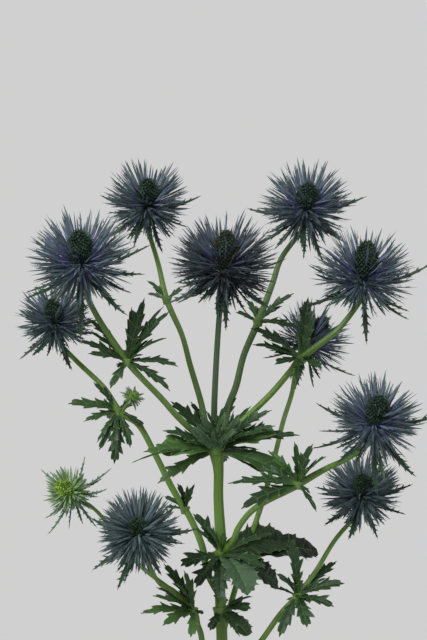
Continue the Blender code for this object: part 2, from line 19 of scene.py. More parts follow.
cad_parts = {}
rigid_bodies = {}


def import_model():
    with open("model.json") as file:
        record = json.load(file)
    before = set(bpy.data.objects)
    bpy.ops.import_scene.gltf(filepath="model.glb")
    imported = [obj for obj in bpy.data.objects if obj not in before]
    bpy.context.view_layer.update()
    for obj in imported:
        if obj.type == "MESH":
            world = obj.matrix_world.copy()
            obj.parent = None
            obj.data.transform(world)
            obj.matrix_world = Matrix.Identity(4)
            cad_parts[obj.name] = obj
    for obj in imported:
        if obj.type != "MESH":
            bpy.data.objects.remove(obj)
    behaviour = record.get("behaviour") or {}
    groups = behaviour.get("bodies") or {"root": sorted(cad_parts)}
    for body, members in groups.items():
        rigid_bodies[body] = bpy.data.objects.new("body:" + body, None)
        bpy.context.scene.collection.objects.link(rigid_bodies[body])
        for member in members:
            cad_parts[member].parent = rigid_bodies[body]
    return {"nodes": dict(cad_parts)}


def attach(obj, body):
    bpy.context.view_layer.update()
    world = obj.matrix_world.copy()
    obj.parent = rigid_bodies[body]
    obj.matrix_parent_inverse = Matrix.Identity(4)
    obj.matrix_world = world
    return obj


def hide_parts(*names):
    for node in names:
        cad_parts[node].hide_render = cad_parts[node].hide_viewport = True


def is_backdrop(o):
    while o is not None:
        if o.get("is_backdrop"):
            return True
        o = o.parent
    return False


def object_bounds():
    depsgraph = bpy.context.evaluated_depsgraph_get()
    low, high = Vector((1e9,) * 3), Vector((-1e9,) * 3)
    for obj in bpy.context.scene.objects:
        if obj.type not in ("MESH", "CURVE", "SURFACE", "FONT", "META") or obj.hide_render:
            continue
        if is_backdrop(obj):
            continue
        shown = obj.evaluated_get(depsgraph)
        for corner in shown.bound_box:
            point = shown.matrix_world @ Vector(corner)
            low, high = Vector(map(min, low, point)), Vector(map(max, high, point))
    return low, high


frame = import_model()
cad_low, cad_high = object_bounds()
print("solids:", len(frame["nodes"]), "reach", [round(v, 3) for v in cad_high - cad_low])

# %% [markdown]
# ## The driving sizes
# The spray is laid out in millimetres, with the origin at the centre of the bottle's base.
# These routes and tables are the same ones that the solids were built from, so a finer piece
# can follow them exactly. Reading points back from the solids would be shorter, but a stem
# would then inherit their coarse corners.

# %% Stem routes: x, y, z and radius
MM = 0.001
MAIN_STEM = [
    (4, -5, 5.6, 3.3), (2, -2, 110, 3.3), (1, 0, 190, 3.2), (1, 0, 215, 3.2),
    (-0.5, 0, 255, 3.05), (0.5, 0, 267, 3.3), (-1, 0, 296, 2.85), (-1, 0, 313, 2.95),
    (-2.5, 0, 326, 4.4), (-2.5, 0, 333, 4.05),
]
BACK_STEM = [
    (-8, 10, 5.6, 1.75), (-2, 10.5, 110, 1.75), (0, 9.5, 190, 1.7), (1, 9.5, 214, 1.7),
    (15, 14, 264, 1.6), (26, 20, 297, 1.55), (33, 25, 323, 1.45), (37.5, 29, 341, 1.4),
    (43, 35, 358, 1.35),
]
RIGHT_STEM = [
    (11, 7, 5.6, 1.65), (9, 5, 110, 1.65), (9.5, 4, 178, 1.65), (12.2, 3, 200, 1.6),
    (24, 2, 214.5, 1.6), (35, 4, 229.5, 1.6), (45, 6, 240, 1.65), (56, 10, 254, 1.4),
    (68, 18, 272, 1.3),
]
LEFT_STEM = [
    (-12, -9, 5.6, 1.85), (-9, -6, 110, 1.85), (-10, -5.5, 190, 1.75), (-10.5, -5, 215, 1.7),
    (-13, -5, 224.5, 1.65), (-15.5, -6, 233, 1.75), (-27.5, -10, 245, 1.5),
    (-36, -15, 251, 1.2),
]
BRANCHES = {
    "upper_left": [
        (-2.5, 0, 330, 2.0), (-8, 3, 339.5, 1.85), (-11.5, 8, 354, 1.75), (-17.5, 15, 374, 1.65),
        (-22.5, 21, 392, 1.55), (-31.5, 28, 412.5, 1.75), (-37, 36, 435, 1.4),
    ],
    "upper_right": [
        (-2.5, 0, 330, 2.2), (2.5, 3, 339.5, 2.1), (5, 7, 351, 2.0), (9.5, 12, 362.5, 1.95),
        (14, 19, 380, 1.85), (22.5, 28, 399.5, 2.0), (31, 37, 421.5, 1.75), (37, 42, 438, 1.55),
    ],
    "left": [
        (-2.5, 0, 330, 1.9), (-13.5, -4, 335, 1.8), (-23.5, -9, 344, 1.8), (-34, -14, 356, 1.7),
        (-44, -19, 366.5, 1.65), (-53, -22, 377, 1.9), (-67, -23, 397.5, 1.7), (-75.5, -23, 413, 1.55),
    ],
    "right": [
        (-2.5, 0, 330, 2.1), (8.5, -3, 338.5, 1.9), (15.5, -4, 344.5, 1.85), (29, -6, 357.5, 1.75),
        (40.5, -8, 371, 1.75), (46.5, -8, 378.5, 2.1), (59, -8, 388, 1.7), (69, -7, 396, 1.6),
    ],
    "centre": [
        (-2.5, 0, 330, 2.05), (-3.5, -2, 345.5, 1.8), (-2.5, -10, 372, 1.7), (-1, -20, 397, 1.6),
    ],
    "side_right": [
        (0.5, 0, 264, 1.85), (7.5, -8, 273.5, 1.8), (10.5, -12, 281, 1.7), (17, -16, 290, 1.7),
        (25.5, -20, 296.5, 1.7), (37, -24, 302.5, 1.7), (44.5, -26, 307, 2.1), (60, -28, 316, 1.65),
        (73, -26, 322, 1.5),
    ],
    "side_left": [
        (-1, 0, 242, 2.0), (-7.5, 3, 254, 1.95), (-10.5, 6, 269, 1.95), (-17.5, 10, 285, 1.85),
        (-28, 14, 302, 1.85), (-39, 18, 323.5, 1.75), (-48, 20, 339, 1.75), (-59.5, 22, 347, 2.1),
        (-69, 27, 361, 1.6), (-85, 34, 376, 1.45),
    ],
    "bud": [(-59.5, 22, 345, 1.2), (-56, 20, 349, 1.1)],
    "low_left": [
        (-26, -9, 243.5, 1.35), (-46.5, 3, 258, 1.2), (-59.5, 6, 272.5, 1.15), (-68, 7, 285, 1.05),
        (-76, 5, 293, 1.0),
    ],
}
print("branches:", len(BRANCHES))

# %% Heads: foot of the cone, facing, cone length and radius, reach of the bracts, counts
HEADS = {
    "centre": ((2, -38, 431), (0.08, -0.42, 0.9), (20, 7.0), 34, 40, 29, 8),
    "left": ((-78.5, -38, 433), (-0.03, -0.6, 0.8), (20, 7.2), 34, 43, 29, 8),
    "side_right": ((87, -42, 343), (0.12, -0.62, 0.77), (18, 6.4), 30, 43, 28, 8),
    "right": ((82, -14, 425), (0.1, -0.4, 0.91), (21, 7.0), 33, 41, 29, 8),
    "upper_left": ((-43, 25, 469), (0.06, -0.66, 0.75), (17, 6.2), 29, 35, 27, 7),
    "upper_right": ((51, 30, 467), (0.06, -0.66, 0.75), (17, 6.4), 31, 39, 27, 7),
    "low_front": ((-46, -40, 281), (-0.05, -0.85, 0.52), (13.5, 5.0), 27, 37, 26, 7),
    "low_right": ((82.5, 6, 299.5), (-0.02, -0.72, 0.69), (15, 5.6), 27, 33, 26, 7),
    "side_left": ((-97, 22, 399.5), (-0.1, -0.58, 0.81), (15, 5.4), 26, 31, 26, 7),
    "back": ((54, 41, 388), (0.55, 0.15, 0.82), (16, 5.8), 27, 35, 26, 7),
    "low_left": ((-87.5, -6, 301.5), (-0.4, -0.82, 0.4), (11.5, 4.6), 16, 29, 24, 7),
}
BUD_FOOT = (-52, 17, 354)
BUD_AXIS = (0.5, -0.5, 0.7)
BUD_RADIUS = 3.2
BUD_SEAT = 0.9
RECEPTACLE_DEPTH = 9.0
GAP = 0.3
print("heads:", len(HEADS), "and one bud")

# %% Leaf whorls: the joint they clasp, the stem's radius there, and each leaf's tip and width
WHORLS = {
    "hub": ((-2.5, 0, 325.5), 4.5, [
        (-33.5, -12, 337, 11), (-44.5, -20, 325, 12), (-36.5, -10, 306, 11), (-29, 5, 353.5, 12),
        (-36, -16, 325, 18), (30, -15, 349, 11), (32, -18, 340, 11), (46.5, -8, 334, 12),
        (33, -15, 335, 17), (40, -22, 309.5, 15),
        (-8.5, -15, 349, 6), (3, -17, 352, 6), (11.5, 13, 362, 6), (-17.5, 15, 353, 7.5),
        (-14, 34, 334, 11), (16, 34, 336, 11), (2.5, 30, 316, 10),
    ]),
    "left_branch": ((-53, -22, 377), 1.95, [
        (-43, -26, 413.5, 10), (-50.5, -21, 408.5, 6), (-27.5, -32, 406.5, 10),
        (-30, -38, 390.5, 7.5), (-23.5, -34, 374, 10), (-28, -38, 360, 9),
        (-62.5, -32, 361.5, 7.5), (-75, -36, 381.5, 9), (-82, -28, 389, 7.5),
        (-77, -16, 402, 7.5), (-46.5, 0, 380, 9), (-66, -2, 383, 7.5),
    ]),
    "low_left_branch": ((-59.5, 22, 347), 2.1, [
        (-89.5, 16, 351.5, 11), (-80, 13, 341, 7.5), (-75, 25, 364, 6), (-62, 14, 316, 11),
        (-71, 17, 324, 7.5), (-52.5, 14, 325.5, 7.5), (-44, 14, 337, 6), (-66, 42, 341, 9),
        (-50, 40, 353, 7.5),
    ]),
    "right_branch": ((46.5, -8, 378.5), 2.1, [
        (17, -16, 396, 11), (18, -20, 386.5, 9), (31, -20, 375, 7.5), (51, -4, 414, 11),
        (58.5, -20, 373, 7.5), (43.5, -20, 366, 7.5),
    ]),
    "back_right_branch": ((22.5, 28, 399.5), 2.0, [
        (44, 22, 416.5, 7.5), (45.5, 20, 396, 9), (9, 27, 405, 6), (17, 42, 412, 6),
    ]),
    "back_left_branch": ((-31.5, 28, 412.5), 1.75, [
        (-43, 23, 416, 5), (-43.5, 30, 424, 5), (-22, 34, 419, 5),
    ]),
    "right_side_branch": ((44.5, -26, 307), 2.1, [
        (4, -34, 308, 11), (22, -20, 316, 9), (11.5, -41, 294, 12.5), (27, -17, 326, 7.5),
        (42, -32, 332, 7.5), (52.5, -38, 331, 9), (60, -42, 324, 7.5), (54.5, -38, 292, 5),
        (37, -8, 314, 7.5), (53, -4, 309, 7.5),
    ]),
    "right_stem": ((45, 6, 240), 1.65, [
        (39.5, 0, 276, 11), (32, -4, 254, 7.5), (34, -8, 217.5, 10), (50, -11, 223.5, 12.5),
        (72.5, -2, 248, 11), (66, -8, 235, 10), (69, 20, 259, 9), (46, 27, 247, 9),
        (42, 25, 230, 9),
    ]),
    "main_joint": ((0.5, 0, 265), 3.3, [
        (15.5, -20, 243, 23), (26, -16, 258, 12), (0, -23, 240, 12), (-8, -14, 281, 13),
        (-23, -13, 259, 13), (-14, -17, 247, 12), (-16, -7, 289, 11), (38.5, 22, 271, 25),
        (58, 30, 263, 22), (34, 18, 245, 21), (-4.5, 25, 259, 9),
    ]),
    "side_joint": ((-20.5, 11.3, 290), 1.85, [
        (-16, 8, 304, 5), (-25, 4, 306, 6), (-33, 17, 297, 6),
    ]),
    "main_foot": ((0, 0, 232.5), 3.15, [
        (-6, -9, 254, 8), (-6, -13, 222, 8), (18, -11, 234.5, 12), (16, -12, 219, 14),
        (2, 19, 238, 7.5),
    ]),
    "left_stem": ((-15.5, -6, 233), 1.75, [
        (-46, -15, 232, 11), (-39, -20, 243, 7.5), (-33, -22, 226, 9), (-21, -13, 257, 7.5),
        (-26, -18, 250, 7.5), (-33, 4, 259, 9), (-17, -20, 219, 7.5), (-21, 12, 226, 7.5),
    ]),
}
print("whorls:", len(WHORLS), "leaves:", sum(len(leaves) for _, _, leaves in WHORLS.values()))

# %% [markdown]
# ## The camera
# The picture was taken level with the upper heads, from over a metre away with a long lens,
# so that near and far heads keep nearly the same size. The camera stands there now, before
# anything is grown, so that every later step can be judged in the same view.

# %% Camera level with the upper heads
VIEW_HEIGHT = 0.4006
VIEW_DISTANCE = 1.4
VIEW_SIDE = -0.0038
LONG_LENS = 135.8

eye = bpy.data.objects.new("eye", bpy.data.cameras.new("eye"))
bpy.context.scene.collection.objects.link(eye)
eye.location = (VIEW_SIDE, -VIEW_DISTANCE, VIEW_HEIGHT)
eye.rotation_euler = (math.pi / 2, 0, 0)
eye.data.lens = LONG_LENS
eye.data.sensor_width = 36
bpy.context.scene.camera = eye
print("camera", [round(v, 3) for v in eye.location])

# %% [markdown]
# ## Wiring helpers
# A finish is a small graph of nodes. Placing nodes one by one takes several lines each, so
# one helper adds a node, sets it up and joins its inputs in a single call. An input given as
# a socket is linked, and anything else is set as its value.

# %% One call for each shader node
def node(tree, kind, links=None, **settings):
    """Adds a node, links or sets its inputs by name or number, and gives it back."""
    made = tree.nodes.new(kind)
    for key, value in settings.items():
        setattr(made, key, value)
    for key, value in (links or {}).items():
        if isinstance(value, bpy.types.NodeSocket):
            tree.links.new(value, made.inputs[key])
        else:
            made.inputs[key].default_value = value
    return made


def sum_of(tree, operation, *terms, clamp=False):
    """One step of arithmetic, as the socket that holds its result."""
    links = dict(enumerate(terms))
    return node(tree, "ShaderNodeMath", links, operation=operation, use_clamp=clamp).outputs[0]


def eased(tree, value, start, end):
    """A smooth step: 0 before start, 1 after end."""
    links = {"Value": value, "From Min": start, "From Max": end}
    return node(tree, "ShaderNodeMapRange", links, interpolation_type="SMOOTHSTEP").outputs[0]


def blended(tree, share, first, second):
    """A colour between two colours."""
    links = {"Factor": share, "A": first, "B": second}
    made = node(tree, "ShaderNodeMix", None, data_type="RGBA")
    for key, value in links.items():
        socket = next(s for s in made.inputs if s.name == key and s.type == ("VALUE" if key == "Factor" else "RGBA"))
        if isinstance(value, bpy.types.NodeSocket):
            tree.links.new(value, socket)
        else:
            socket.default_value = value
    return next(s for s in made.outputs if s.type == "RGBA")


def shader_group(name, inputs, outputs):
    """An empty group with named inputs and outputs: its tree, entry and exit."""
    tree = bpy.data.node_groups.new(name, "ShaderNodeTree")
    for label, kind, value in inputs:
        socket = tree.interface.new_socket(label, in_out="INPUT", socket_type=f"NodeSocket{kind}")
        socket.default_value = value
    for label, kind in outputs:
        tree.interface.new_socket(label, in_out="OUTPUT", socket_type=f"NodeSocket{kind}")
    return tree, tree.nodes.new("NodeGroupInput"), tree.nodes.new("NodeGroupOutput")


def use_group(tree, group, **links):
    """Places a group in a finish, with its inputs given by name."""
    made = tree.nodes.new("ShaderNodeGroup")
    made.node_tree = group
    for key, value in links.items():
        socket = made.inputs[key.replace("_", " ")]
        if isinstance(value, bpy.types.NodeSocket):
            tree.links.new(value, socket)
        else:
            socket.default_value = value
    return made.outputs


def grown_value(tree, name):
    """Reads a value that the mesh carries at each point."""
    return node(tree, "ShaderNodeAttribute", None, attribute_name=name).outputs["Fac"]


print("node helpers ready")

# %% [markdown]
# ## Shared effects
# Leaves, bracts, stems and florets age and colour alike, so their effects are groups that
# each finish places with its own numbers. The growth tone runs from root to tip with a
# little chance in it. The grain breaks up every even surface. The vein group draws a pale
# midrib and side veins from values that the blades carry, which keeps the veins on the teeth
# they feed, however a leaf is bent.

# %% Growth tone: root, middle and tip colours with a chance lightness
GREY = (0.5, 0.5, 0.5, 1)
growth_tone, entry, leaving = shader_group(
    "growth_tone",
    [
        ("Root", "Color", GREY), ("Middle", "Color", GREY), ("Tip", "Color", GREY),
        ("Along", "Float", 0.5), ("Tint", "Float", 0.5), ("Spread", "Float", 0.5),
    ],
    [("Color", "Color")],
)
lower = blended(growth_tone, eased(growth_tone, entry.outputs["Along"], 0.1, 0.55),
                entry.outputs["Root"], entry.outputs["Middle"])
whole = blended(growth_tone, eased(growth_tone, entry.outputs["Along"], 0.5, 0.95),
                lower, entry.outputs["Tip"])
centred = sum_of(growth_tone, "SUBTRACT", entry.outputs["Tint"], 0.5)
lightness = sum_of(growth_tone, "MULTIPLY_ADD", centred, entry.outputs["Spread"], 1.0)
toned = node(growth_tone, "ShaderNodeHueSaturation", {"Value": lightness, "Color": whole})
growth_tone.links.new(toned.outputs[0], leaving.inputs["Color"])
print("group", growth_tone.name)

# %% Plant grain: a soft mottling and a fine height
plant_grain, entry, leaving = shader_group(
    "plant_grain",
    [("Scale", "Float", 400.0), ("Stretch", "Float", 1.0)],
    [("Mottle", "Float"), ("Height", "Float")],
)
place = node(plant_grain, "ShaderNodeTexCoord").outputs["Object"]
squeeze = node(plant_grain, "ShaderNodeCombineXYZ", {0: 1.0, 1: 1.0, 2: entry.outputs["Stretch"]})
drawn = node(plant_grain, "ShaderNodeVectorMath", {0: place, 1: squeeze.outputs[0]}, operation="MULTIPLY")
coarse = node(plant_grain, "ShaderNodeTexNoise",
              {"Vector": drawn.outputs[0], "Scale": entry.outputs["Scale"], "Detail": 3.0})
fine_scale = sum_of(plant_grain, "MULTIPLY", entry.outputs["Scale"], 4.3)
fine = node(plant_grain, "ShaderNodeTexNoise",
            {"Vector": drawn.outputs[0], "Scale": fine_scale, "Detail": 2.0})
plant_grain.links.new(eased(plant_grain, coarse.outputs["Fac"], 0.32, 0.68), leaving.inputs["Mottle"])
plant_grain.links.new(fine.outputs["Fac"], leaving.inputs["Height"])
print("group", plant_grain.name)

# %% Blade veins: midrib, side veins, spiny tooth tips and a fine net
blade_veins, entry, leaving = shader_group(
    "blade_veins",
    [
        ("Across", "Float", 0.5), ("Phase", "Float", 0.0), ("Rib", "Float", 0.1),
        ("Vein", "Float", 0.1), ("Net Scale", "Float", 900.0),
    ],
    [("Ribs", "Float"), ("Net", "Float"), ("Spines", "Float"), ("Height", "Float")],
)
from_midrib = sum_of(blade_veins, "ABSOLUTE", entry.outputs["Across"])
midrib = sum_of(blade_veins, "SUBTRACT", 1.0, eased(blade_veins, from_midrib, 0.0, entry.outputs["Rib"]))
turn = sum_of(blade_veins, "PINGPONG", entry.outputs["Phase"], 0.5)
side_vein = sum_of(blade_veins, "SUBTRACT", 1.0, eased(blade_veins, turn, 0.0, entry.outputs["Vein"]))
near_edge = eased(blade_veins, from_midrib, 0.72, 1.0)
thinned = sum_of(blade_veins, "MULTIPLY_ADD", from_midrib, -0.45, 0.75)
side_vein_seen = sum_of(blade_veins, "MULTIPLY", side_vein, thinned)
ribs = sum_of(blade_veins, "MAXIMUM", midrib, side_vein_seen)
place = node(blade_veins, "ShaderNodeTexCoord").outputs["Object"]
cells = node(blade_veins, "ShaderNodeTexVoronoi", {"Vector": place, "Scale": entry.outputs["Net Scale"]},
             feature="DISTANCE_TO_EDGE")
net = sum_of(blade_veins, "SUBTRACT", 1.0, eased(blade_veins, cells.outputs["Distance"], 0.0, 0.09))
blade_veins.links.new(ribs, leaving.inputs["Ribs"])
blade_veins.links.new(net, leaving.inputs["Net"])
blade_veins.links.new(sum_of(blade_veins, "MULTIPLY", near_edge, side_vein), leaving.inputs["Spines"])
blade_veins.links.new(sum_of(blade_veins, "MULTIPLY_ADD", net, 0.25, ribs), leaving.inputs["Height"])
print("group", blade_veins.name)

# %% [markdown]
# ## Finishes of the living parts
# A bract is slate blue to violet near the cone, darkens to grey green at its tip, and has a
# pale midrib. A leaf is dark green above and paler below. Both are matt with a faint waxy
# gloss. Each finish is one Principled shader fed by the shared groups.

# %% A helper that starts a finish
def srgb(red, green, blue):
    """A colour as seen on a screen, turned into the linear light that shaders use."""
    def linear(value):
        share = value / 255
        return share / 12.92 if share <= 0.04045 else ((share + 0.055) / 1.055) ** 2.4
    return (linear(red), linear(green), linear(blue), 1.0)


def new_finish(name, roughness, specular=0.35):
    """A Principled material with its tree and shader."""
    made = bpy.data.materials.new(name)
    made.use_nodes = True
    shader = made.node_tree.nodes["Principled BSDF"]
    shader.inputs["Roughness"].default_value = roughness
    shader.inputs["Specular IOR Level"].default_value = specular
    return made, made.node_tree, shader


def raised(tree, shader, height, strength, distance):
    """Feeds a height to the shader's normal."""
    links = {"Height": height, "Strength": strength, "Distance": distance}
    tree.links.new(node(tree, "ShaderNodeBump", links).outputs[0], shader.inputs["Normal"])


print("finish helpers ready")

# %% Slate blue needle bracts
def bract_finish(name, green, blue, tip, pale, roughness=0.45):
    """Bracts between green and blue, as (root, middle) colours, with a pale rib."""
    made, tree, shader = new_finish(name, roughness)
    share = grown_value(tree, "blue")
    root, middle = (blended(tree, share, low, high) for low, high in zip(green, blue))
    tone = use_group(tree, growth_tone, Root=root, Middle=middle, Tip=tip, Spread=0.9,
                     Along=grown_value(tree, "along"), Tint=grown_value(tree, "tint"))
    veins = use_group(tree, blade_veins, Across=grown_value(tree, "across"),
                      Phase=grown_value(tree, "phase"), Rib=0.22, Vein=0.12, Net_Scale=1100.0)
    grain = use_group(tree, plant_grain, Scale=260.0)
    ribbed = blended(tree, sum_of(tree, "MULTIPLY", veins["Ribs"], 0.42), tone["Color"], pale)
    dusted = blended(tree, sum_of(tree, "MULTIPLY", grain["Mottle"], 0.22), ribbed, pale)
    tree.links.new(dusted, shader.inputs["Base Color"])
    raised(tree, shader, grain["Height"], 0.25, 0.0002)
    return made


slate_bract = bract_finish("bract_slate_blue", (srgb(62, 96, 76), srgb(76, 98, 90)),
                           (srgb(114, 108, 182), srgb(92, 106, 130)), srgb(60, 82, 76), srgb(160, 174, 184))
young_bract = bract_finish("bract_young_green", (srgb(132, 176, 76), srgb(128, 160, 106)),
                           (srgb(120, 160, 110), srgb(104, 146, 82)), srgb(124, 152, 124), srgb(196, 216, 172))
print("finishes", slate_bract.name, young_bract.name)

# %% Dark toothed bracts below the ruff, and the leaves
def leaf_finish(name, upper, lower, pale, spine, net_share, roughness=0.42):
    """A blade that is dark above and paler below, with veins and spiny teeth."""
    made, tree, shader = new_finish(name, roughness)
    veins = use_group(tree, blade_veins, Across=grown_value(tree, "across"),
                      Phase=grown_value(tree, "phase"), Rib=0.085, Vein=0.085, Net_Scale=620.0)
    grain = use_group(tree, plant_grain, Scale=150.0)
    side = blended(tree, grown_value(tree, "under"), upper, lower)
    fresh = blended(tree, grown_value(tree, "fresh"), side, lower)
    lit = blended(tree, sum_of(tree, "MULTIPLY", grown_value(tree, "blue"), 0.6), fresh, srgb(96, 124, 98))
    tone = use_group(tree, growth_tone, Root=pale, Middle=lit, Tip=lit, Spread=0.7,
                     Along=sum_of(tree, "ADD", grown_value(tree, "along"), 0.3),
                     Tint=grown_value(tree, "tint"))
    netted = blended(tree, sum_of(tree, "MULTIPLY", veins["Net"], net_share), tone["Color"], pale)
    veined = blended(tree, sum_of(tree, "MULTIPLY", veins["Ribs"], 0.5), netted, pale)
    mottled = blended(tree, sum_of(tree, "MULTIPLY", grain["Mottle"], 0.3), veined, upper)
    spiny = blended(tree, veins["Spines"], mottled, spine)
    tree.links.new(spiny, shader.inputs["Base Color"])
    rough = sum_of(tree, "MULTIPLY_ADD", grain["Mottle"], 0.14, roughness - 0.06)
    tree.links.new(rough, shader.inputs["Roughness"])
    height = sum_of(tree, "MULTIPLY_ADD", grain["Height"], 0.3, veins["Height"])
    raised(tree, shader, height, 0.45, 0.00025)
    return made


leaf_green = leaf_finish("leaf_green", srgb(34, 64, 34), srgb(82, 120, 58), srgb(118, 148, 92),
                         srgb(150, 164, 118), 0.14)
bract_green = leaf_finish("toothed_bract_green", srgb(38, 62, 48), srgb(70, 98, 78),
                          srgb(104, 130, 110), srgb(150, 164, 140), 0.08)
print("finishes", leaf_green.name, bract_green.name)

# %% Stems: bright green with long streaks, and paler patches of waxy bloom with painted highlight
def stem_finish(name, green, shaded, wax_and_highlight):
    """A ribbed stem, streaked along its length."""
    made, tree, shader = new_finish(name, 0.4, 0.4)
    streak = use_group(tree, plant_grain, Scale=520.0, Stretch=0.06)
    # Paler patches at random: the stem's waxy bloom, with a painted highlight.
    wax_and_highlight_patch = use_group(tree, plant_grain, Scale=42.0, Stretch=0.5)
    body = blended(tree, sum_of(tree, "MULTIPLY", streak["Mottle"], 0.55), green, shaded)
    waxed_and_highlighted = blended(tree, sum_of(tree, "MULTIPLY", wax_and_highlight_patch["Mottle"], 0.45), body, wax_and_highlight)
    # Darker grey green from the mesh's share: the branch's own grey, with painted shade.
    greyed_and_shaded = blended(tree, grown_value(tree, "blue"), waxed_and_highlighted, srgb(70, 92, 72))
    tree.links.new(greyed_and_shaded, shader.inputs["Base Color"])
    raised(tree, shader, streak["Height"], 0.3, 0.0003)
    return made


stem_green = stem_finish("stem_green", srgb(104, 142, 50), srgb(72, 108, 40), srgb(112, 140, 84))
sheath_green = stem_finish("sheath_green", srgb(104, 140, 58), srgb(70, 104, 48), srgb(128, 152, 96))
print("finishes", stem_green.name, sheath_green.name)

# %% Florets: a dark cup with a pale tip
def floret_finish(name, cup, middle, tip, ripe):
    """Florets coloured from their dark foot to their pale tip, tan where they are ripe."""
    made, tree, shader = new_finish(name, 0.55, 0.3)
    grain = use_group(tree, plant_grain, Scale=700.0)
    point = blended(tree, grown_value(tree, "blue"), tip, ripe)
    tone = use_group(tree, growth_tone, Root=cup, Middle=middle, Tip=point, Spread=1.3,
                     Along=grown_value(tree, "along"), Tint=grown_value(tree, "tint"))
    mixed = blended(tree, sum_of(tree, "MULTIPLY", grain["Mottle"], 0.25), tone["Color"], cup)
    tree.links.new(mixed, shader.inputs["Base Color"])
    raised(tree, shader, grain["Height"], 0.4, 0.0002)
    return made


floret_green = floret_finish("floret_green", srgb(18, 36, 30), srgb(38, 66, 50), srgb(98, 120, 98),
                             srgb(112, 98, 80))
young_floret = floret_finish("young_floret_green", srgb(92, 132, 44), srgb(138, 178, 62),
                             srgb(196, 216, 128), srgb(196, 216, 128))
print("finishes", floret_green.name, young_floret.name)

# %% [markdown]
# ## Glass and water
# Both are clear, so what shows is their edges: the lip, the shoulder and the water line. The
# glass has a faint green tint and its roughness changes a little with handling. The water is
# its own closed piece inside the glass, with a hole for each stem.

# %% Clear glass and water
def clear_finish(name, colour, ior, roughness):
    """A clear body with plain transmission and a faint smear in its roughness."""
    made, tree, shader = new_finish(name, roughness, 0.5)
    shader.inputs["Base Color"].default_value = colour
    shader.inputs["Transmission Weight"].default_value = 1.0
    shader.inputs["IOR"].default_value = ior
    smear = use_group(tree, plant_grain, Scale=24.0, Stretch=0.3)
    tree.links.new(sum_of(tree, "MULTIPLY", smear["Mottle"], roughness), shader.inputs["Roughness"])
    return made


bottle_glass = clear_finish("bottle_glass", (0.93, 0.97, 0.955, 1), 1.5, 0.03)
clear_water = clear_finish("clear_water", (0.97, 0.99, 0.98, 1), 1.333, 0.01)
print("finishes", bottle_glass.name, clear_water.name)

# %% [markdown]
# ## Growing a mesh
# Every living part here is a loft: closed rings of points joined in a row, ending flat or in
# a point. A stem is a loft of round rings, a needle bract one of small diamonds, a leaf one
# of wide flat lenses. Building many lofts into one mesh with arrays is quick, and each point
# can carry values, such as its place along the blade, for the finish to read.

# %% Collect points, faces and values for one piece
CARRIED = ("along", "across", "phase", "tint", "blue", "under", "fresh")


class Growth:
    """Gathers lofts, with the values they carry at each point, into one mesh."""

    def __init__(self):
        self.points = []
        self.faces = []
        self.finishes = []
        self.values = {name: [] for name in CARRIED}
        self.count = 0

    def add(self, points, faces, finish=0, **values):
        """Adds copies of one set of faces; points has the shape (copies, points, 3)."""
        copies, size = points.shape[:2]
        self.points.append(points.reshape(-1, 3))
        for name in CARRIED:
            spread = np.broadcast_to(values.get(name, 0.0), (copies, size))
            self.values[name].append(spread.reshape(-1))
        for base in range(self.count, self.count + copies * size, size):
            self.faces += [[base + corner for corner in face] for face in faces]
        self.finishes += [finish] * (copies * len(faces))
        self.count += copies * size

    def piece(self, name, finishes, slot, nodes, crease=38):
        """Makes the mesh object, which stands for the given solids."""
        mesh = bpy.data.meshes.new(name)
        mesh.from_pydata((np.vstack(self.points) * MM).tolist(), [], self.faces)
        for value in CARRIED:
            layer = mesh.attributes.new(value, "FLOAT", "POINT")
            layer.data.foreach_set("value", np.concatenate(self.values[value]).astype(np.float32))
        for finish in finishes:
            mesh.materials.append(finish)
        mesh.polygons.foreach_set("material_index", self.finishes)
        mesh.shade_smooth()
        mesh.set_sharp_from_angle(angle=math.radians(crease))
        made = bpy.data.objects.new(name, mesh)
        bpy.context.scene.collection.objects.link(made)
        return placed(made, nodes)


def placed(made, nodes):
    """A finished piece rides on the one body and stands for its solids."""
    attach(made, "root")
    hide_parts(*nodes)
    return made


def loft_faces(rings, sides, pointed):
    """Faces that join rings of points in a row, closed at the foot and at the end."""
    faces = [list(range(sides))[::-1]]
    for i in range(rings - 1):
        for k in range(sides):
            here = i * sides + k
            after = i * sides + (k + 1) % sides
            faces.append([here, after, after + sides, here + sides])
    last = (rings - 1) * sides
    if pointed:
        tip = rings * sides
        faces += [[last + k, last + (k + 1) % sides, tip] for k in range(sides)]
    else:
        faces.append(list(range(last, last + sides)))
    return faces


def unit(vectors):
    """The same directions with length 1."""
    return vectors / np.linalg.norm(vectors, axis=-1, keepdims=True)


print("carried values:", ", ".join(CARRIED))

# %% [markdown]
# ## Stems
# A sea holly stem is round with low ribs, and swells a little where leaves clasp it. Each
# stem follows the smooth curve through its route's points, taken here at close steps. The
# branches start inside the stem that bears them and are joined to it by a Boolean, so that a
# forked stem is one closed skin.

# %% A smooth line through a route, and turning frames along it
def smooth_line(route, step):
    """Points on the smooth curve through a route's points, about a step apart."""
    route = [np.array(point, float) for point in route]
    ends = [route[0], *route, route[-1]]
    found = []
    for a, b, c, d in zip(ends, ends[1:], ends[2:], ends[3:]):
        pieces = max(1, round(float(np.linalg.norm((c - b)[:3])) / step))
        t = np.arange(pieces)[:, None] / pieces
        bend = (2 * a - 5 * b + 4 * c - d) * t**2 + (3 * b - a - 3 * c + d) * t**3
        found.append(0.5 * (2 * b + (c - a) * t + bend))
    return np.vstack([*found, route[-1]])


def frames_along(line, side):
    """Directions along a line of points and, without twist, to its side and up."""
    along = unit(np.gradient(line, axis=0))
    sides = []
    for direction in along:
        side = unit(side - direction * np.dot(direction, side))
        sides.append(side)
    sides = np.array(sides)
    return along, sides, np.cross(along, sides)


def head_turn(axis):
    """The turn that lays +Z along a head's axis, as a 3 by 3 array."""
    return np.array(Vector(axis).normalized().to_track_quat("Z", "Y").to_matrix())


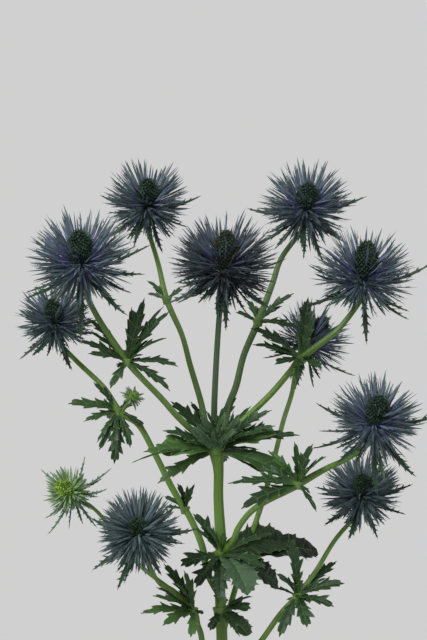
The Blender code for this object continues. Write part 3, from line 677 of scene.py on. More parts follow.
def neck(foot, axis, radius):
    """The last stretch of a stem, which runs into the back of a head along its axis."""
    axis = unit(np.array(axis, float))
    near = np.array(foot) - axis * (RECEPTACLE_DEPTH + 6)
    end = np.array(foot) - axis * (RECEPTACLE_DEPTH + GAP)
    return [(*near, radius), (*end, radius + 0.3)]


main_line = smooth_line(MAIN_STEM, 2.5)
print("main stem:", len(main_line), "points,", round(float(main_line[-1][2])), "mm tall")

# %% Ribbed stems, forked ones joined in one skin
STEM_SIDES = 28
STEM_RIBS = 7
RIB_DEPTH = 0.05


def stem_tube(name, route, extra=0.0, sides=STEM_SIDES, step=2.5, ribs=RIB_DEPTH):
    """A tube object along a route; extra makes it fatter and longer, for cutting."""
    stations = smooth_line(route, step)
    line = stations[:, :3]
    along, side, up = frames_along(line, np.array([1.0, 0, 0]))
    angle = np.arange(sides) * math.tau / sides
    ribbing = 1 + ribs * np.cos(STEM_RIBS * angle)
    reach = (stations[:, 3:4] + extra) * ribbing
    line[0] -= along[0] * extra
    line[-1] += along[-1] * extra
    spokes = side[:, None] * np.cos(angle)[None, :, None] + up[:, None] * np.sin(angle)[None, :, None]
    points = line[:, None] + spokes * reach[:, :, None]
    mesh = bpy.data.meshes.new(name)
    mesh.from_pydata((points.reshape(-1, 3) * MM).tolist(), [], loft_faces(len(line), sides, False))
    made = bpy.data.objects.new(name, mesh)
    bpy.context.scene.collection.objects.link(made)
    return made


def joined(base, others, operation):
    """Joins or cuts a mesh object with others in one step, and removes them."""
    group = bpy.data.collections.new("joining")
    bpy.context.scene.collection.children.link(group)
    for other in others:
        bpy.context.scene.collection.objects.unlink(other)
        group.objects.link(other)
    modifier = base.modifiers.new("join", "BOOLEAN")
    modifier.operation = operation
    modifier.solver = "EXACT"
    modifier.operand_type = "COLLECTION"
    modifier.collection = group
    graph = bpy.context.evaluated_depsgraph_get()
    base.data = bpy.data.meshes.new_from_object(base.evaluated_get(graph))
    base.modifiers.clear()
    for other in list(group.objects):
        bpy.data.objects.remove(other, do_unlink=True)
    bpy.data.collections.remove(group)


def stem_routes():
    """Every stem as its list of routes: the stem itself, then the branches it bears."""
    routes = {
        "stem_main": [MAIN_STEM],
        "stem_back": [BACK_STEM + neck(*HEADS["back"][:2], BACK_STEM[-1][3])],
        "stem_right": [RIGHT_STEM + neck(*HEADS["low_right"][:2], RIGHT_STEM[-1][3])],
        "stem_left": [LEFT_STEM + neck(*HEADS["low_front"][:2], LEFT_STEM[-1][3])],
    }
    for name, route in BRANCHES.items():
        bearer = "stem_left" if name == "low_left" else "stem_main"
        if name == "bud":
            end = np.array(BUD_FOOT) - unit(np.array(BUD_AXIS)) * (BUD_SEAT + GAP)
            routes[bearer].append([*route, (*end, 1.0)])
        else:
            routes[bearer].append(route + neck(*HEADS[name][:2], route[-1][3]))
    return routes


# Share of darker grey green on the upper branches: their own grey, with painted shade.
STEM_GREY_AND_SHADE = {"centre": 0.85, "upper_right": 0.5, "upper_left": 0.15, "left": 0.1}


def grey_and_painted_shade(mesh):
    """Writes each point's share of darker grey green, the branch's own grey with painted shade: that of the branch
    it lies on.
    """
    places = np.empty(len(mesh.vertices) * 3)
    mesh.vertices.foreach_get("co", places)
    places = places.reshape(-1, 3) / MM
    lines = [(0.0, MAIN_STEM), *((STEM_GREY_AND_SHADE.get(name, 0.0), route) for name, route in BRANCHES.items())]
    shares = np.array([share for share, _ in lines])
    far = [np.linalg.norm(places[:, None] - smooth_line(route, 3.0)[None, :, :3], axis=2).min(axis=1)
           for _, route in lines]
    values = shares[np.argmin(far, axis=0)]
    mesh.attributes.new("blue", "FLOAT", "POINT").data.foreach_set("value", values)


ROUTES = stem_routes()
for stem, routes in ROUTES.items():
    first, *rest = [stem_tube(f"{stem}_{i}", route) for i, route in enumerate(routes)]
    if rest:
        joined(first, rest, "UNION")
    first.name = "ribbed_" + stem
    if stem == "stem_main":
        grey_and_painted_shade(first.data)
    first.data.materials.clear()
    first.data.materials.append(stem_green)
    first.data.polygons.foreach_set("material_index", [0] * len(first.data.polygons))
    first.data.shade_smooth()
    first.data.set_sharp_from_angle(angle=math.radians(50))
    placed(first, [stem])
    print(first.name, len(first.data.polygons), "faces")

# %% What stands near a growing part
def solid_faces(name, points, faces):
    """Adds a solid's points and faces to running lists, in metres."""
    base = len(points)
    mesh = frame["nodes"][name].data
    points += [vertex.co.copy() for vertex in mesh.vertices]
    faces += [[base + corner for corner in polygon.vertices] for polygon in mesh.polygons]


def neighbours_of(own):
    """A search tree of every solid but the named ones."""
    points = []
    faces = []
    for name in frame["nodes"]:
        if name not in own:
            solid_faces(name, points, faces)
    return BVHTree.FromPolygons(points, faces)


def is_clear(tree, root, tip, room, from_share, samples=9):
    """True if the stretch of a blade past from_share keeps its distance to the rest."""
    for k in range(samples + 1):
        share = from_share + (1 - from_share) * k / samples
        place = Vector((root + (tip - root) * share) * MM)
        if tree.find_nearest(place, room * MM)[0] is not None:
            return False
    return True


print("solids to keep clear of:", len(frame["nodes"]))

# %% [markdown]
# ## Leaves
# A leaf lobe is long and pointed, folded a little along its pale midrib, with coarse teeth
# that lean towards the tip and end in a spine. The loft's rings lean forward with the side
# veins, so each vein ends in a tooth. The two margins have teeth of their own, at different
# places, and the broad old leaves low on the main stem get many small rounded teeth.

# %% One margin's teeth
ACROSS = np.array([-1, -0.74, -0.44, -0.16, -0.05, 0, 0.05, 0.16, 0.44, 0.74, 1])
NARROW_ACROSS = np.array([-1, -0.35, 0, 0.35, 1])
FIRST_TOOTH = 0.16
LAST_TOOTH = 0.93


def margin(teeth, cut, rise, draw):
    """Places along one margin, from 0 to 1, with the share of the full width there."""
    pitch = (LAST_TOOTH - FIRST_TOOTH) / teeth
    places = [0.0, FIRST_TOOTH - 0.02]
    shares = [1.0, 0.9]
    tips = []
    for k in range(teeth):
        tip = FIRST_TOOTH + pitch * (k + 0.78 + draw.uniform(-0.1, 0.1))
        reach = draw.uniform(0.84, 1.14)
        places += [tip - pitch * rise * 0.72, tip, tip + pitch * 0.07]
        shares += [cut, reach, cut]
        tips.append(tip)
    order = np.argsort(places)
    places = np.array(places)[order].tolist() + [1.0]
    shares = np.array(shares)[order].tolist() + [0.8]
    return places, shares, tips


def outline_of(places, root_share, blunt):
    """How wide a blade is along its length: narrow at the root, pointed or blunt at the tip."""
    start = math.asin(root_share) / math.pi
    return np.sin(math.pi * (start + (1 - start) * places**1.25)) ** blunt


print("leaf lofts have", 2 * len(ACROSS) - 2, "points to a ring")

# %% A toothed blade, for leaves and for long bracts
def toothed_blade(growth, root, tip, width, facing, draw, form):
    """Adds one folded blade with a midrib, side veins and teeth along both margins."""
    across = form["across"]
    length = float(np.linalg.norm(tip - root))
    teeth = form["teeth"]
    left = margin(teeth, form["cut"], form["rise"], draw)
    right = margin(teeth, form["cut"], form["rise"], draw)
    steps = np.linspace(0, 1, max(4, round(length / form["step"])) + 1)
    stations = np.unique(np.clip(np.round(np.concatenate([left[0], right[0], steps]), 4), 0, 1))[:-1]
    swell = outline_of(stations, form["root"], form["blunt"]) * width / 2
    halves = {-1: swell * np.interp(stations, left[0], left[1]),
              1: swell * np.interp(stations, right[0], right[1])}
    order = np.arange(teeth + 2)
    phases = {-1: np.interp(stations, [0, *left[2], 1], order),
              1: np.interp(stations, [0, *right[2], 1], order)}
    rise = facing * form["arch"] * length
    sway = unit(np.cross(tip - root, facing)) * length * draw.uniform(-1, 1) * form["sway"]
    bulge = 4 * stations * (1 - stations)
    late = stations**2 * (1 - stations) * 4
    line = root + (tip - root) * stations[:, None] + rise * bulge[:, None] + sway * late[:, None]
    along = unit(np.gradient(np.vstack([line, tip]), axis=0))[:-1]
    side = unit(np.cross(along, facing))
    face = np.cross(side, along)
    twist = draw.uniform(-1, 1) * form["twist"] * stations
    side, face = (side * np.cos(twist)[:, None] + face * np.sin(twist)[:, None],
                  face * np.cos(twist)[:, None] - side * np.sin(twist)[:, None])
    half = np.where(across[None] < 0, halves[-1][:, None], halves[1][:, None])
    phase = np.where(across[None] < 0, phases[-1][:, None], phases[1][:, None])
    reach = np.abs(across)[None] * half
    pucker = np.sin(math.pi * phase) ** 2 * np.sin(math.pi * np.abs(across)[None] ** 0.8)
    flutter = np.sin(math.tau * 0.5 * phase + draw.uniform(0, 6)) * np.abs(across)[None] ** 2
    lift = reach * form["fold"] + pucker * form["pucker"] + flutter * half * form["flutter"]
    middle = (line[:, None] + side[:, None] * (across[None] * half)[:, :, None]
              + along[:, None] * (reach * form["slant"])[:, :, None]
              + face[:, None] * lift[:, :, None])
    body = form["thickness"] / 2 * (1 - np.abs(across) ** 3)
    thinning = 1 - 0.6 * stations[:, None]
    above = middle + face[:, None] * (body[None] * thinning)[:, :, None]
    keel = body * (1 + form["keel"] * np.exp(-((across / 0.13) ** 2)))
    below = middle - face[:, None] * (keel[None] * thinning)[:, :, None]
    rings = np.concatenate([above, below[:, -2:0:-1]], axis=1)
    ring_across = np.concatenate([across, across[-2:0:-1]])
    ring_phase = np.concatenate([phase, phase[:, -2:0:-1]], axis=1)
    under = np.concatenate([np.zeros(len(across)), np.ones(len(across) - 2)])
    under[[0, len(across) - 1]] = 0.5
    sides = rings.shape[1]
    count = len(stations)
    points = np.concatenate([rings.reshape(-1, 3), tip[None]])[None]

    def with_tip(values, end):
        return np.append(np.broadcast_to(values, (count, sides)).reshape(-1), end)[None]

    growth.add(points, loft_faces(count, sides, True), form["finish"],
               along=with_tip(stations[:, None], 1.0), across=with_tip(ring_across[None], 0.0),
               phase=with_tip(ring_phase, 0.0), under=with_tip(under[None], 0.5),
               tint=draw.uniform(0, 1) + form["shift"], fresh=form["fresh"], blue=form["grey"])


LEAF = {
    "across": ACROSS, "teeth": 4, "cut": 0.55, "rise": 1.0, "step": 1.3, "root": 0.4, "arch": 0.07,
    "sway": 0.03, "twist": 0.25, "fold": 0.26, "pucker": 0.3, "flutter": 0.14, "slant": 0.62,
    "thickness": 0.5, "keel": 1.6, "finish": 0, "fresh": 0.0, "grey": 0.0, "shift": 0.0,
    "blunt": 1.2,
}
PALM = {**LEAF, "teeth": 3, "cut": 0.84, "fold": 0.2, "pucker": 0.5}
BROAD_LEAF = {**LEAF, "teeth": 9, "cut": 0.86, "rise": 0.7, "slant": 0.4, "pucker": 0.7, "fold": 0.16,
              "flutter": 0.08, "root": 0.34, "blunt": 0.55}
LONG_BRACT = {**LEAF, "across": NARROW_ACROSS, "teeth": 5, "cut": 0.42, "rise": 0.42, "step": 2.4,
              "root": 0.5, "arch": -0.05, "sway": 0.05, "twist": 0.5, "fold": 0.4, "pucker": 0.0,
              "flutter": 0.1, "slant": 0.9, "thickness": 0.55, "finish": 1}
print("blade forms: leaf, broad leaf, long bract")

# %% Whorls: a clasping sheath and its leaves
BROAD_WIDTH = 13
POINTED = {**BROAD_LEAF, "teeth": 7, "cut": 0.8, "blunt": 0.95, "fold": 0.3, "arch": 0.16}
SHORT_TOOTH = 9.0
FRESH_LEAVES = {"hub": {1: 0.5, 2: 0.7, 4: 0.9, 8: 0.9, 9: 0.4}, "low_left_branch": {0: 0.5, 1: 0.4},
                "left_stem": {0: 1.0, 1: 0.8, 2: 0.9, 3: 0.8, 4: 0.6, 6: 0.9, 7: 0.5},
                "right_side_branch": {3: 0.5, 4: 0.5}, "main_foot": {0: 0.8}}
GREY_LEAVES = {"main_joint": {0: 1.0, 2: 0.8, 3: 0.5, 9: 0.6}, "left_stem": {3: 0.4},
               "back_left_branch": {0: 0.9, 2: 0.9}}
DARK_LEAVES = {"main_joint": {4: -0.4, 5: -0.5, 7: -0.9, 8: -0.9, 9: -0.4}, "main_foot": {1: -0.4, 3: -0.5}}
SMALL_LEAF = {**LEAF, "across": NARROW_ACROSS, "teeth": 3, "step": 2.2}
LEAF_FACING = unit(np.array([0.12, -0.6, 0.8]))


def sheath(growth, joint, radius, draw):
    """A low flared collar round the joint, with a wavy rim."""
    sides = 32
    angle = np.arange(sides) * math.tau / sides
    wave = 1 + 0.07 * np.sin(5 * angle + draw.uniform(0, 6)) * (angle > -1)
    profile = [(0.3, -2.9), (0.42, -2.2), (0.6, -1.2), (0.85, -0.2), (1.15, 0.8), (1.2, 1.5), (0.5, 1.7)]
    rings = np.array([
        np.stack([(radius + reach) * wave * np.cos(angle), (radius + reach) * wave * np.sin(angle),
                  np.full(sides, height)], axis=1)
        for reach, height in profile
    ])
    growth.add((rings.reshape(-1, 3) + joint)[None], loft_faces(len(profile), sides, False), 1,
               along=0.3, tint=0.5)


leaf_draw = random.Random(5)
TANGLE = 26
TANGLE_FORM = {**LEAF, "across": NARROW_ACROSS, "teeth": 2, "grey": 0.7, "cut": 0.6, "step": 2.5}


def tangle(growth, centre, tree, draw):
    """Thin young leaves that stand up before and among the branches of the hub."""
    kept = 0
    for k in range(TANGLE):
        root = centre + np.array([draw.uniform(-5, 5), -5.2, draw.uniform(0, 3)])
        tip = centre + np.array([draw.uniform(-17, 17), draw.uniform(-20, -6), draw.uniform(9, 25)])
        if is_clear(tree, root, tip, 0.8, 0.35):
            along = unit(tip - root)
            facing = unit(np.array([draw.uniform(-0.6, 0.6), -1, 0.2]))
            facing = unit(facing - along * np.dot(along, facing))
            toothed_blade(growth, root, tip, draw.uniform(2.6, 4.8), facing, draw, TANGLE_FORM)
            kept += 1
    print("young leaves in the hub:", kept)


def small_leaf(growth, centre, radius, beside, tree, draw):
    """A short leaf beside a large one, unless something stands in its way."""
    span = beside - centre
    length = float(np.linalg.norm(span))
    aside = np.array([draw.uniform(-1, 1), draw.uniform(-1, 1), draw.uniform(-0.6, 1)]) * length * 0.4
    tip = centre + span * draw.uniform(0.45, 0.72) + aside
    along = unit(tip - centre)
    root = centre + along * radius * 0.9
    if is_clear(tree, root, tip, 1.0, 0.3):
        facing = unit(LEAF_FACING - along * np.dot(along, LEAF_FACING))
        toothed_blade(growth, root, tip, draw.uniform(3.5, 5.5), facing, draw, SMALL_LEAF)


for name, (joint, radius, leaves) in WHORLS.items():
    growth = Growth()
    centre = np.array(joint, float)
    tree = neighbours_of({"leaves_" + name})
    sheath(growth, centre, radius, leaf_draw)
    for k, (x, y, z, width) in enumerate(leaves):
        tip = np.array([x, y, z], float)
        along = unit(tip - centre)
        facing = unit(LEAF_FACING - along * np.dot(along, LEAF_FACING))
        length = float(np.linalg.norm(tip - centre))
        if (name, k) == ("main_joint", 0):
            form = dict(POINTED)
        elif width > BROAD_WIDTH:
            form = dict(BROAD_LEAF if name.startswith("main") else PALM)
        else:
            form = {**LEAF, "teeth": min(5, max(2, round(length / SHORT_TOOTH)))}
        form["fresh"] = FRESH_LEAVES.get(name, {}).get(k, 0.0)
        form["grey"] = GREY_LEAVES.get(name, {}).get(k, 0.0)
        form["shift"] = DARK_LEAVES.get(name, {}).get(k, 0.0)
        toothed_blade(growth, centre + along * radius * 0.75, tip, width, facing, leaf_draw, form)
        small_leaf(growth, centre, radius, tip, tree, leaf_draw)
    if name == "hub":
        tangle(growth, centre, tree, leaf_draw)
    made = growth.piece("foliage_" + name, [leaf_green, sheath_green], "leaf_green", ["leaves_" + name])
    print(made.name, len(leaves), "leaves,", len(made.data.polygons), "faces")

# %% [markdown]
# ## Needle bracts
# Round each cone stand hundreds of narrow bracts, each a slim blade with a raised midrib and
# a sharp point. One bract is a loft of small diamonds. All the bracts of a head are worked
# out together as arrays: where each starts, where it points, how it bows and turns. Those
# that would run into a neighbour's stem, leaf or cone are left out.

# %% A bed of needles
NEEDLE_PLACES = np.array([0, 0.17, 0.36, 0.56, 0.75, 0.9])
NEEDLE_SWELL = np.array([0.38, 0.6, 0.88, 1.0, 0.78, 0.38])
NEEDLE_RING = np.array([(1, 0), (0, -0.3), (-1, 0), (0, 0.42)])


def needle_bed(growth, roots, tips, widths, faces, bows, finish=0, **values):
    """Adds needle blades from roots to tips, their upper side towards faces."""
    span = tips - roots
    length = np.linalg.norm(span, axis=1)
    along = span / length[:, None]
    side = unit(np.cross(along, faces))
    face = np.cross(side, along)
    share = NEEDLE_PLACES[None, :, None, None]
    half = (widths[:, None] * NEEDLE_SWELL[None] / 2)[:, :, None, None]
    bow = np.sin(math.pi * NEEDLE_PLACES)[None] * (bows * length)[:, None]
    rings = (roots[:, None, None] + span[:, None, None] * share
             + face[:, None, None] * bow[:, :, None, None]
             + side[:, None, None] * half * NEEDLE_RING[None, None, :, :1]
             + face[:, None, None] * half * NEEDLE_RING[None, None, :, 1:])
    count = len(roots)
    points = np.concatenate([rings.reshape(count, -1, 3), tips[:, None]], axis=1)
    sides = len(NEEDLE_RING)
    along_values = np.append(np.repeat(NEEDLE_PLACES, sides), 1.0)[None]
    across_values = np.append(np.tile(np.abs(NEEDLE_RING[:, 0]), len(NEEDLE_PLACES)), 0.0)[None]
    growth.add(points, loft_faces(len(NEEDLE_PLACES), sides, True), finish,
               along=along_values, across=across_values, phase=0.5, **values)


def spine_bed(growth, roots, tips, widths, finish=0, **values):
    """Adds small three-sided spines."""
    along = unit(tips - roots)
    side = unit(np.cross(along, np.array([0.31, 0.52, 0.79])))
    up = np.cross(along, side)
    ring = [(math.cos(math.tau * k / 3), math.sin(math.tau * k / 3)) for k in range(3)]
    corners = [roots + (side * c + up * s) * widths[:, None] / 2 for c, s in ring]
    points = np.stack([*corners, tips], axis=1)
    growth.add(points, loft_faces(1, 3, True), finish, along=np.array([[0.75, 0.75, 0.75, 1.0]]),
               across=0.5, phase=0.5, **values)


print("one needle has", len(loft_faces(len(NEEDLE_PLACES), 4, True)), "faces")

# %% [markdown]
# ## Flower heads
# A head bristles all round. Some needles stand on the cone itself, between its florets, and
# the rest form a ruff under it. Both start with the same needles as the solids, drawn by the
# same rule, so the head keeps its reach. Finer needles then fill the space between them in
# an even spiral. Their colour runs from violet blue at the top of a fresh head to sea green
# below and on the low heads.
# The lower needles of each head are darker, with painted shade.

# %% Directions: the solid's own needles, then the filling ones
GOLDEN_TURN = math.pi * (3 - math.sqrt(5))
SEED = 11
CROWN_SHARE = 0.26
CROWN_SLOPES = (32.0, 50.0)
CROWN_ROOT = 0.1
LONG_SLOPES = (80, 112, 140, 100, 124, 92, 146, 116)
# Share of blue, how much darker the head is (its own darker tone, and painted shade that
# deepens on the lower needles), the filling needles round the cone and in the ruff, and the extra toothed bracts
# under it.
HEAD_LOOKS = {
    "centre": (0.8, 1.1, 150, 420, 26), "left": (0.95, 0.1, 130, 240, 12),
    "side_right": (0.85, 0.1, 120, 220, 12), "right": (0.9, 0.1, 130, 230, 12),
    "upper_left": (0.6, 0.2, 110, 200, 12), "upper_right": (0.85, 0.3, 120, 210, 12),
    "low_front": (0.25, 0.0, 160, 260, 12), "low_right": (0.35, 0.3, 110, 200, 12),
    "side_left": (0.5, 0.15, 90, 180, 12), "back": (1.0, 0.0, 80, 160, 10),
    "low_left": (0.0, 0.0, 70, 90, 12),
}


def needle_directions(count, low, high, draw):
    """Rings of needles from near the cone to below it, as (level, slope, turn)."""
    rings = 5
    slopes = [low + (high - low) * k / (rings - 1) for k in range(rings)]
    total = sum(math.sin(slope) for slope in slopes)
    found = []
    for k, slope in enumerate(slopes):
        in_ring = max(3, round(count * math.sin(slope) / total))
        start = draw.uniform(0, math.tau)
        for n in range(in_ring):
            turn = start + math.tau * (n + draw.uniform(-0.15, 0.15)) / in_ring
            found.append((k / (rings - 1), slope + draw.uniform(-0.07, 0.07), turn))
    return found


def spiral_directions(count, low, high, draw):
    """An even spiral of directions between two slopes, as (level, slope, turn)."""
    found = []
    for k in range(count):
        share = (k + 0.5) / count
        slope = math.acos(math.cos(low) + (math.cos(high) - math.cos(low)) * share)
        turn = k * GOLDEN_TURN + draw.uniform(-0.2, 0.2)
        found.append((share, slope + draw.uniform(-0.08, 0.08), turn))
    return found


def pointing(slope, turn):
    """A direction that leans from +Z by slope, turned about Z."""
    return np.array([math.sin(slope) * math.cos(turn), math.sin(slope) * math.sin(turn), math.cos(slope)])


print("filling needles:", sum(looks[2] + looks[3] for looks in HEAD_LOOKS.values()))

# %% A collector that leaves out needles in the way
draw = random.Random(SEED)
fill = random.Random(23)


class Needles:
    """Collects one head's needles in its own frame, then grows them all together."""

    def __init__(self, name, foot, axis):
        self.foot = np.array(foot, float)
        self.turn_to = head_turn(axis)
        self.blue, self.tone_and_painted_shade = HEAD_LOOKS[name][:2]
        self.tree = neighbours_of({f"bracts_{name}", f"cone_{name}"})
        self.rows = []

    def seen(self, place):
        """A place in the head's frame, in the spray's own frame."""
        return self.turn_to @ place + self.foot

    def veils(self, slope, turn):
        """True if a needle would rise on the spray's front side, right before the cone."""
        across, depth, up = self.turn_to @ pointing(slope, turn)
        return depth < -0.15 and abs(across) < 0.42 and up > 0.05 and fill.random() < 0.8

    def stand(self, root, tip, width, room, from_share, level):
        """Keeps a needle unless something stands in its way."""
        start, end = self.seen(root), self.seen(tip)
        if not is_clear(self.tree, start, end, room, from_share):
            return
        spoke = unit(np.array([tip[0], tip[1], 0.001]))
        upward = np.array([0, 0, 1.0]) + spoke * fill.uniform(-0.5, 0.5)
        upward += np.array([-spoke[1], spoke[0], 0]) * fill.uniform(-0.7, 0.7)
        blue = self.blue * (1.25 - 0.85 * level) + fill.uniform(-0.22, 0.22)
        # Needles darken by level: the head's own darker tone, and painted shade deepening on the lower needles.
        tint = fill.random() - self.tone_and_painted_shade * (0.4 + 0.7 * level)
        self.rows.append((start, end, width, self.turn_to @ upward, fill.uniform(-0.05, 0.05),
                          tint, min(1.0, max(0.0, blue))))

    def grow(self, growth, barbed):
        """Adds every kept needle and, on some, small side spines."""
        roots, tips, widths, upward, bows, tints, blues = (np.array(column) for column in zip(*self.rows))
        needle_bed(growth, roots, tips, widths, upward, bows, 0, tint=tints[:, None], blue=blues[:, None])
        chosen = np.array([fill.random() < barbed for _ in range(len(roots))])
        if chosen.any():
            barbs(growth, *(column[chosen] for column in (roots, tips, widths, upward, tints, blues)))


def barbs(growth, roots, tips, widths, upward, tints, blues):
    """Two pairs of small side spines on each of the given needles."""
    along = unit(tips - roots)
    length = np.linalg.norm(tips - roots, axis=1)[:, None]
    side = unit(np.cross(along, upward))
    for place, hand in ((0.55, 1), (0.6, -1), (0.74, 1), (0.79, -1)):
        start = roots + (tips - roots) * place + side * hand * widths[:, None] * 0.25
        end = start + (along * 0.085 + side * hand * 0.05) * length
        spine_bed(growth, start, end, widths * 0.4, 0, tint=tints[:, None] * 0.5 + 0.5,
                  blue=blues[:, None])


print("collector ready")

# %% Crowns: needles on the cone
def girth(share, radius):
    """The cone's radius at a share of its height."""
    return radius * np.sin(math.pi * (0.26 + 0.62 * share)) ** 0.75


def coat_of(name):
    """The bract finish and slot of a head."""
    return (young_bract, "bract_young_green") if name == "low_left" else (slate_bract, "bract_slate_blue")


for name, (foot, axis, (length, radius), reach, _, needles, _) in HEADS.items():
    bed = Needles(name, foot, axis)
    count = round(needles * CROWN_SHARE)
    low, high = (math.radians(slope) for slope in CROWN_SLOPES)
    for level, slope, turn in needle_directions(count, low, high, draw):
        root = np.array([0, 0, length * CROWN_ROOT * (1 - 0.5 * level)])
        tip = pointing(slope, turn) * reach * draw.uniform(0.94, 1.04)
        bed.stand(root, tip, 1.5, 0.5, 0.1, 0.3 * level)
    extra = HEAD_LOOKS[name][2]
    for level, slope, turn in spiral_directions(extra, math.radians(30), math.radians(76), fill):
        if bed.veils(slope, turn):
            continue
        share = 0.3 - 0.28 * level
        skin = pointing(math.pi / 2, turn) * girth(share, radius) * 0.85
        root = skin + np.array([0, 0, 0.9 * length * share])
        tip = pointing(slope, turn) * reach * fill.uniform(0.76, 1.0)
        bed.stand(root, tip, fill.uniform(0.9, 1.5), 0.8, 0.25, 0.5 * level)
    growth = Growth()
    bed.grow(growth, 0.1)
    coat, slot = coat_of(name)
    made = growth.piece("crown_" + name, [coat], slot, ["cone_" + name], 30)
    print(made.name, len(bed.rows), "needles")

# %% Ruffs: needles and long toothed bracts under the cone
def receptacle(growth, bed, rim):
    """The green seat that bears the ruff."""
    angle = np.arange(24) * math.tau / 24
    profile = [(3.0, -RECEPTACLE_DEPTH), (rim * 0.55, -7.6), (rim * 0.8, -5.4), (rim * 0.95, -2.6),
               (rim, -0.8), (rim * 0.9, 0.0)]
    rings = np.array([np.stack([reach * np.cos(angle), reach * np.sin(angle), np.full(24, height)], axis=1)
                      for reach, height in profile])
    points = rings.reshape(-1, 3) @ bed.turn_to.T + bed.foot
    growth.add(points[None], loft_faces(len(profile), 24, False), 0, along=0.15, tint=0.1, blue=0.0,
               across=0.6, phase=0.5)


for name, (foot, axis, (_, radius), reach, long_reach, needles, long_bracts) in HEADS.items():
    extra, more_bracts = HEAD_LOOKS[name][3:]
    bed = Needles(name, foot, axis)
    rim = radius + 1.0
    growth = Growth()
    receptacle(growth, bed, rim)
    directions = [(*d, 1.6, 0.5) for d in needle_directions(
        round(needles * (1 - CROWN_SHARE)), math.radians(56), math.radians(108), draw)]
    lengths = [1.0 * draw.uniform(0.94, 1.05) for _ in directions]
    spiral = spiral_directions(extra, math.radians(58), math.radians(130), fill)
    directions += [(*d, fill.uniform(0.9, 1.6), 0.8) for d in spiral if not bed.veils(*d[1:])]
    lengths += [fill.uniform(0.7, 1.0) for _ in range(extra)]
    for (level, slope, turn, width, room), share in zip(directions, lengths):
        spoke = np.array([math.cos(turn), math.sin(turn), 0.0])
        root = spoke * (rim - 2.2) + np.array([0, 0, -1.3 - 2.6 * level])
        tip = pointing(slope, turn) * reach * (1.02 - 0.12 * level) * share
        bed.stand(root, tip, width, room, 0.32, 0.5 + 0.6 * level)
    bed.grow(growth, 0.4)
    aims = []
    slim = 0.55 if name == "low_left" else 1.0
    form = {**LONG_BRACT, "fresh": 1.0, "shift": 0.7} if name == "low_left" else LONG_BRACT
    for k in range(long_bracts):
        turn = math.tau * (k + draw.uniform(-0.12, 0.12)) / long_bracts
        slope = math.radians(LONG_SLOPES[k] + draw.uniform(-6, 6))
        aims.append((slope, turn, long_reach * draw.uniform(0.9, 1.04), 7.0 * slim, 1.8))
    for k in range(more_bracts):
        turn = (k + 0.5) * GOLDEN_TURN + fill.uniform(-0.3, 0.3)
        slope = math.radians(90 + 56 * fill.random() ** 0.8)
        far = long_reach * fill.uniform(0.62, 0.88)
        aims.append((slope, turn, far, fill.uniform(4.2, 6.2) * slim, 1.4))
    for slope, turn, far, width, room in aims:
        spoke = np.array([math.cos(turn), math.sin(turn), 0.0])
        root = bed.seen(spoke * rim * 0.5 + np.array([0, 0, -6.0]))
        tip = bed.seen(pointing(slope, turn) * far)
        if is_clear(bed.tree, root, tip, room, 0.32, 14):
            along = unit(tip - root)
            upward = bed.turn_to @ np.array([0, 0, 1.0])
            facing = unit(upward - along * np.dot(along, upward))
            toothed_blade(growth, root, tip, width, facing, fill, form)
    coat, slot = coat_of(name)
    made = growth.piece("ruff_" + name, [coat, bract_green], slot, ["bracts_" + name], 30)
    print(made.name, len(bed.rows), "needles,", len(made.data.polygons), "faces")

# %% [markdown]
# ## Cones
# The cone is packed with florets in crossing spirals. Each floret is a five-sided cup with
# pale pointed sepals and, under it, a small spiny bract. The cup's foot is dark, so the pale
# tips show as rows of dots. A floret is built once and copied along an even spiral over the
# egg shape, larger in the middle of the cone than at its ends.

# %% One floret
def floret_pattern():
    """Points, faces and along-values of one floret, standing on +Z, about 1 mm across."""
    sides = 5
    angle = np.arange(sides) * math.tau / sides
    rings = [(0.46, -0.5), (0.66, 0.1), (0.76, 0.7), (0.56, 1.1), (0.2, 1.2)]
    points = [np.stack([r * np.cos(angle), r * np.sin(angle), np.full(sides, z)], axis=1) for r, z in rings]
    faces = loft_faces(len(rings), sides, False)
    along = [np.full(sides, value) for value in (0.0, 0.15, 0.5, 0.62, 0.5)]
    base = sides * len(rings)
    for k in range(sides):
        middle = angle[k] + math.pi / sides
        out = np.array([math.cos(middle), math.sin(middle), 0])
        across = np.array([-out[1], out[0], 0]) * 0.26
        foot = out * 0.52 + np.array([0, 0, 0.8])
        tip = out * (0.95 if k else 1.3) + np.array([0, 0, 2.0 if k else 3.6])
        points.append(np.array([foot + across, foot - across, foot - out * 0.24 + np.array([0, 0, 0.1]), tip]))
        along.append(np.array([0.55, 0.55, 0.55, 1.0 if k else 0.7]))
        faces += [[base + a for a in face] for face in ([0, 2, 1], [0, 1, 3], [1, 2, 3], [2, 0, 3])]
        base += 4
    return np.vstack(points), faces, np.concatenate(along)


FLORET = floret_pattern()
print("one floret has", len(FLORET[1]), "faces")

# %% Cones covered in an even spiral
CONE_FLORETS = {"centre": 260, "left": 260, "right": 260, "side_right": 230, "low_left": 150}
FLORETS = 210
RIPE_CONES = {"centre": 0.9, "right": 0.2}
DOME = 1.17


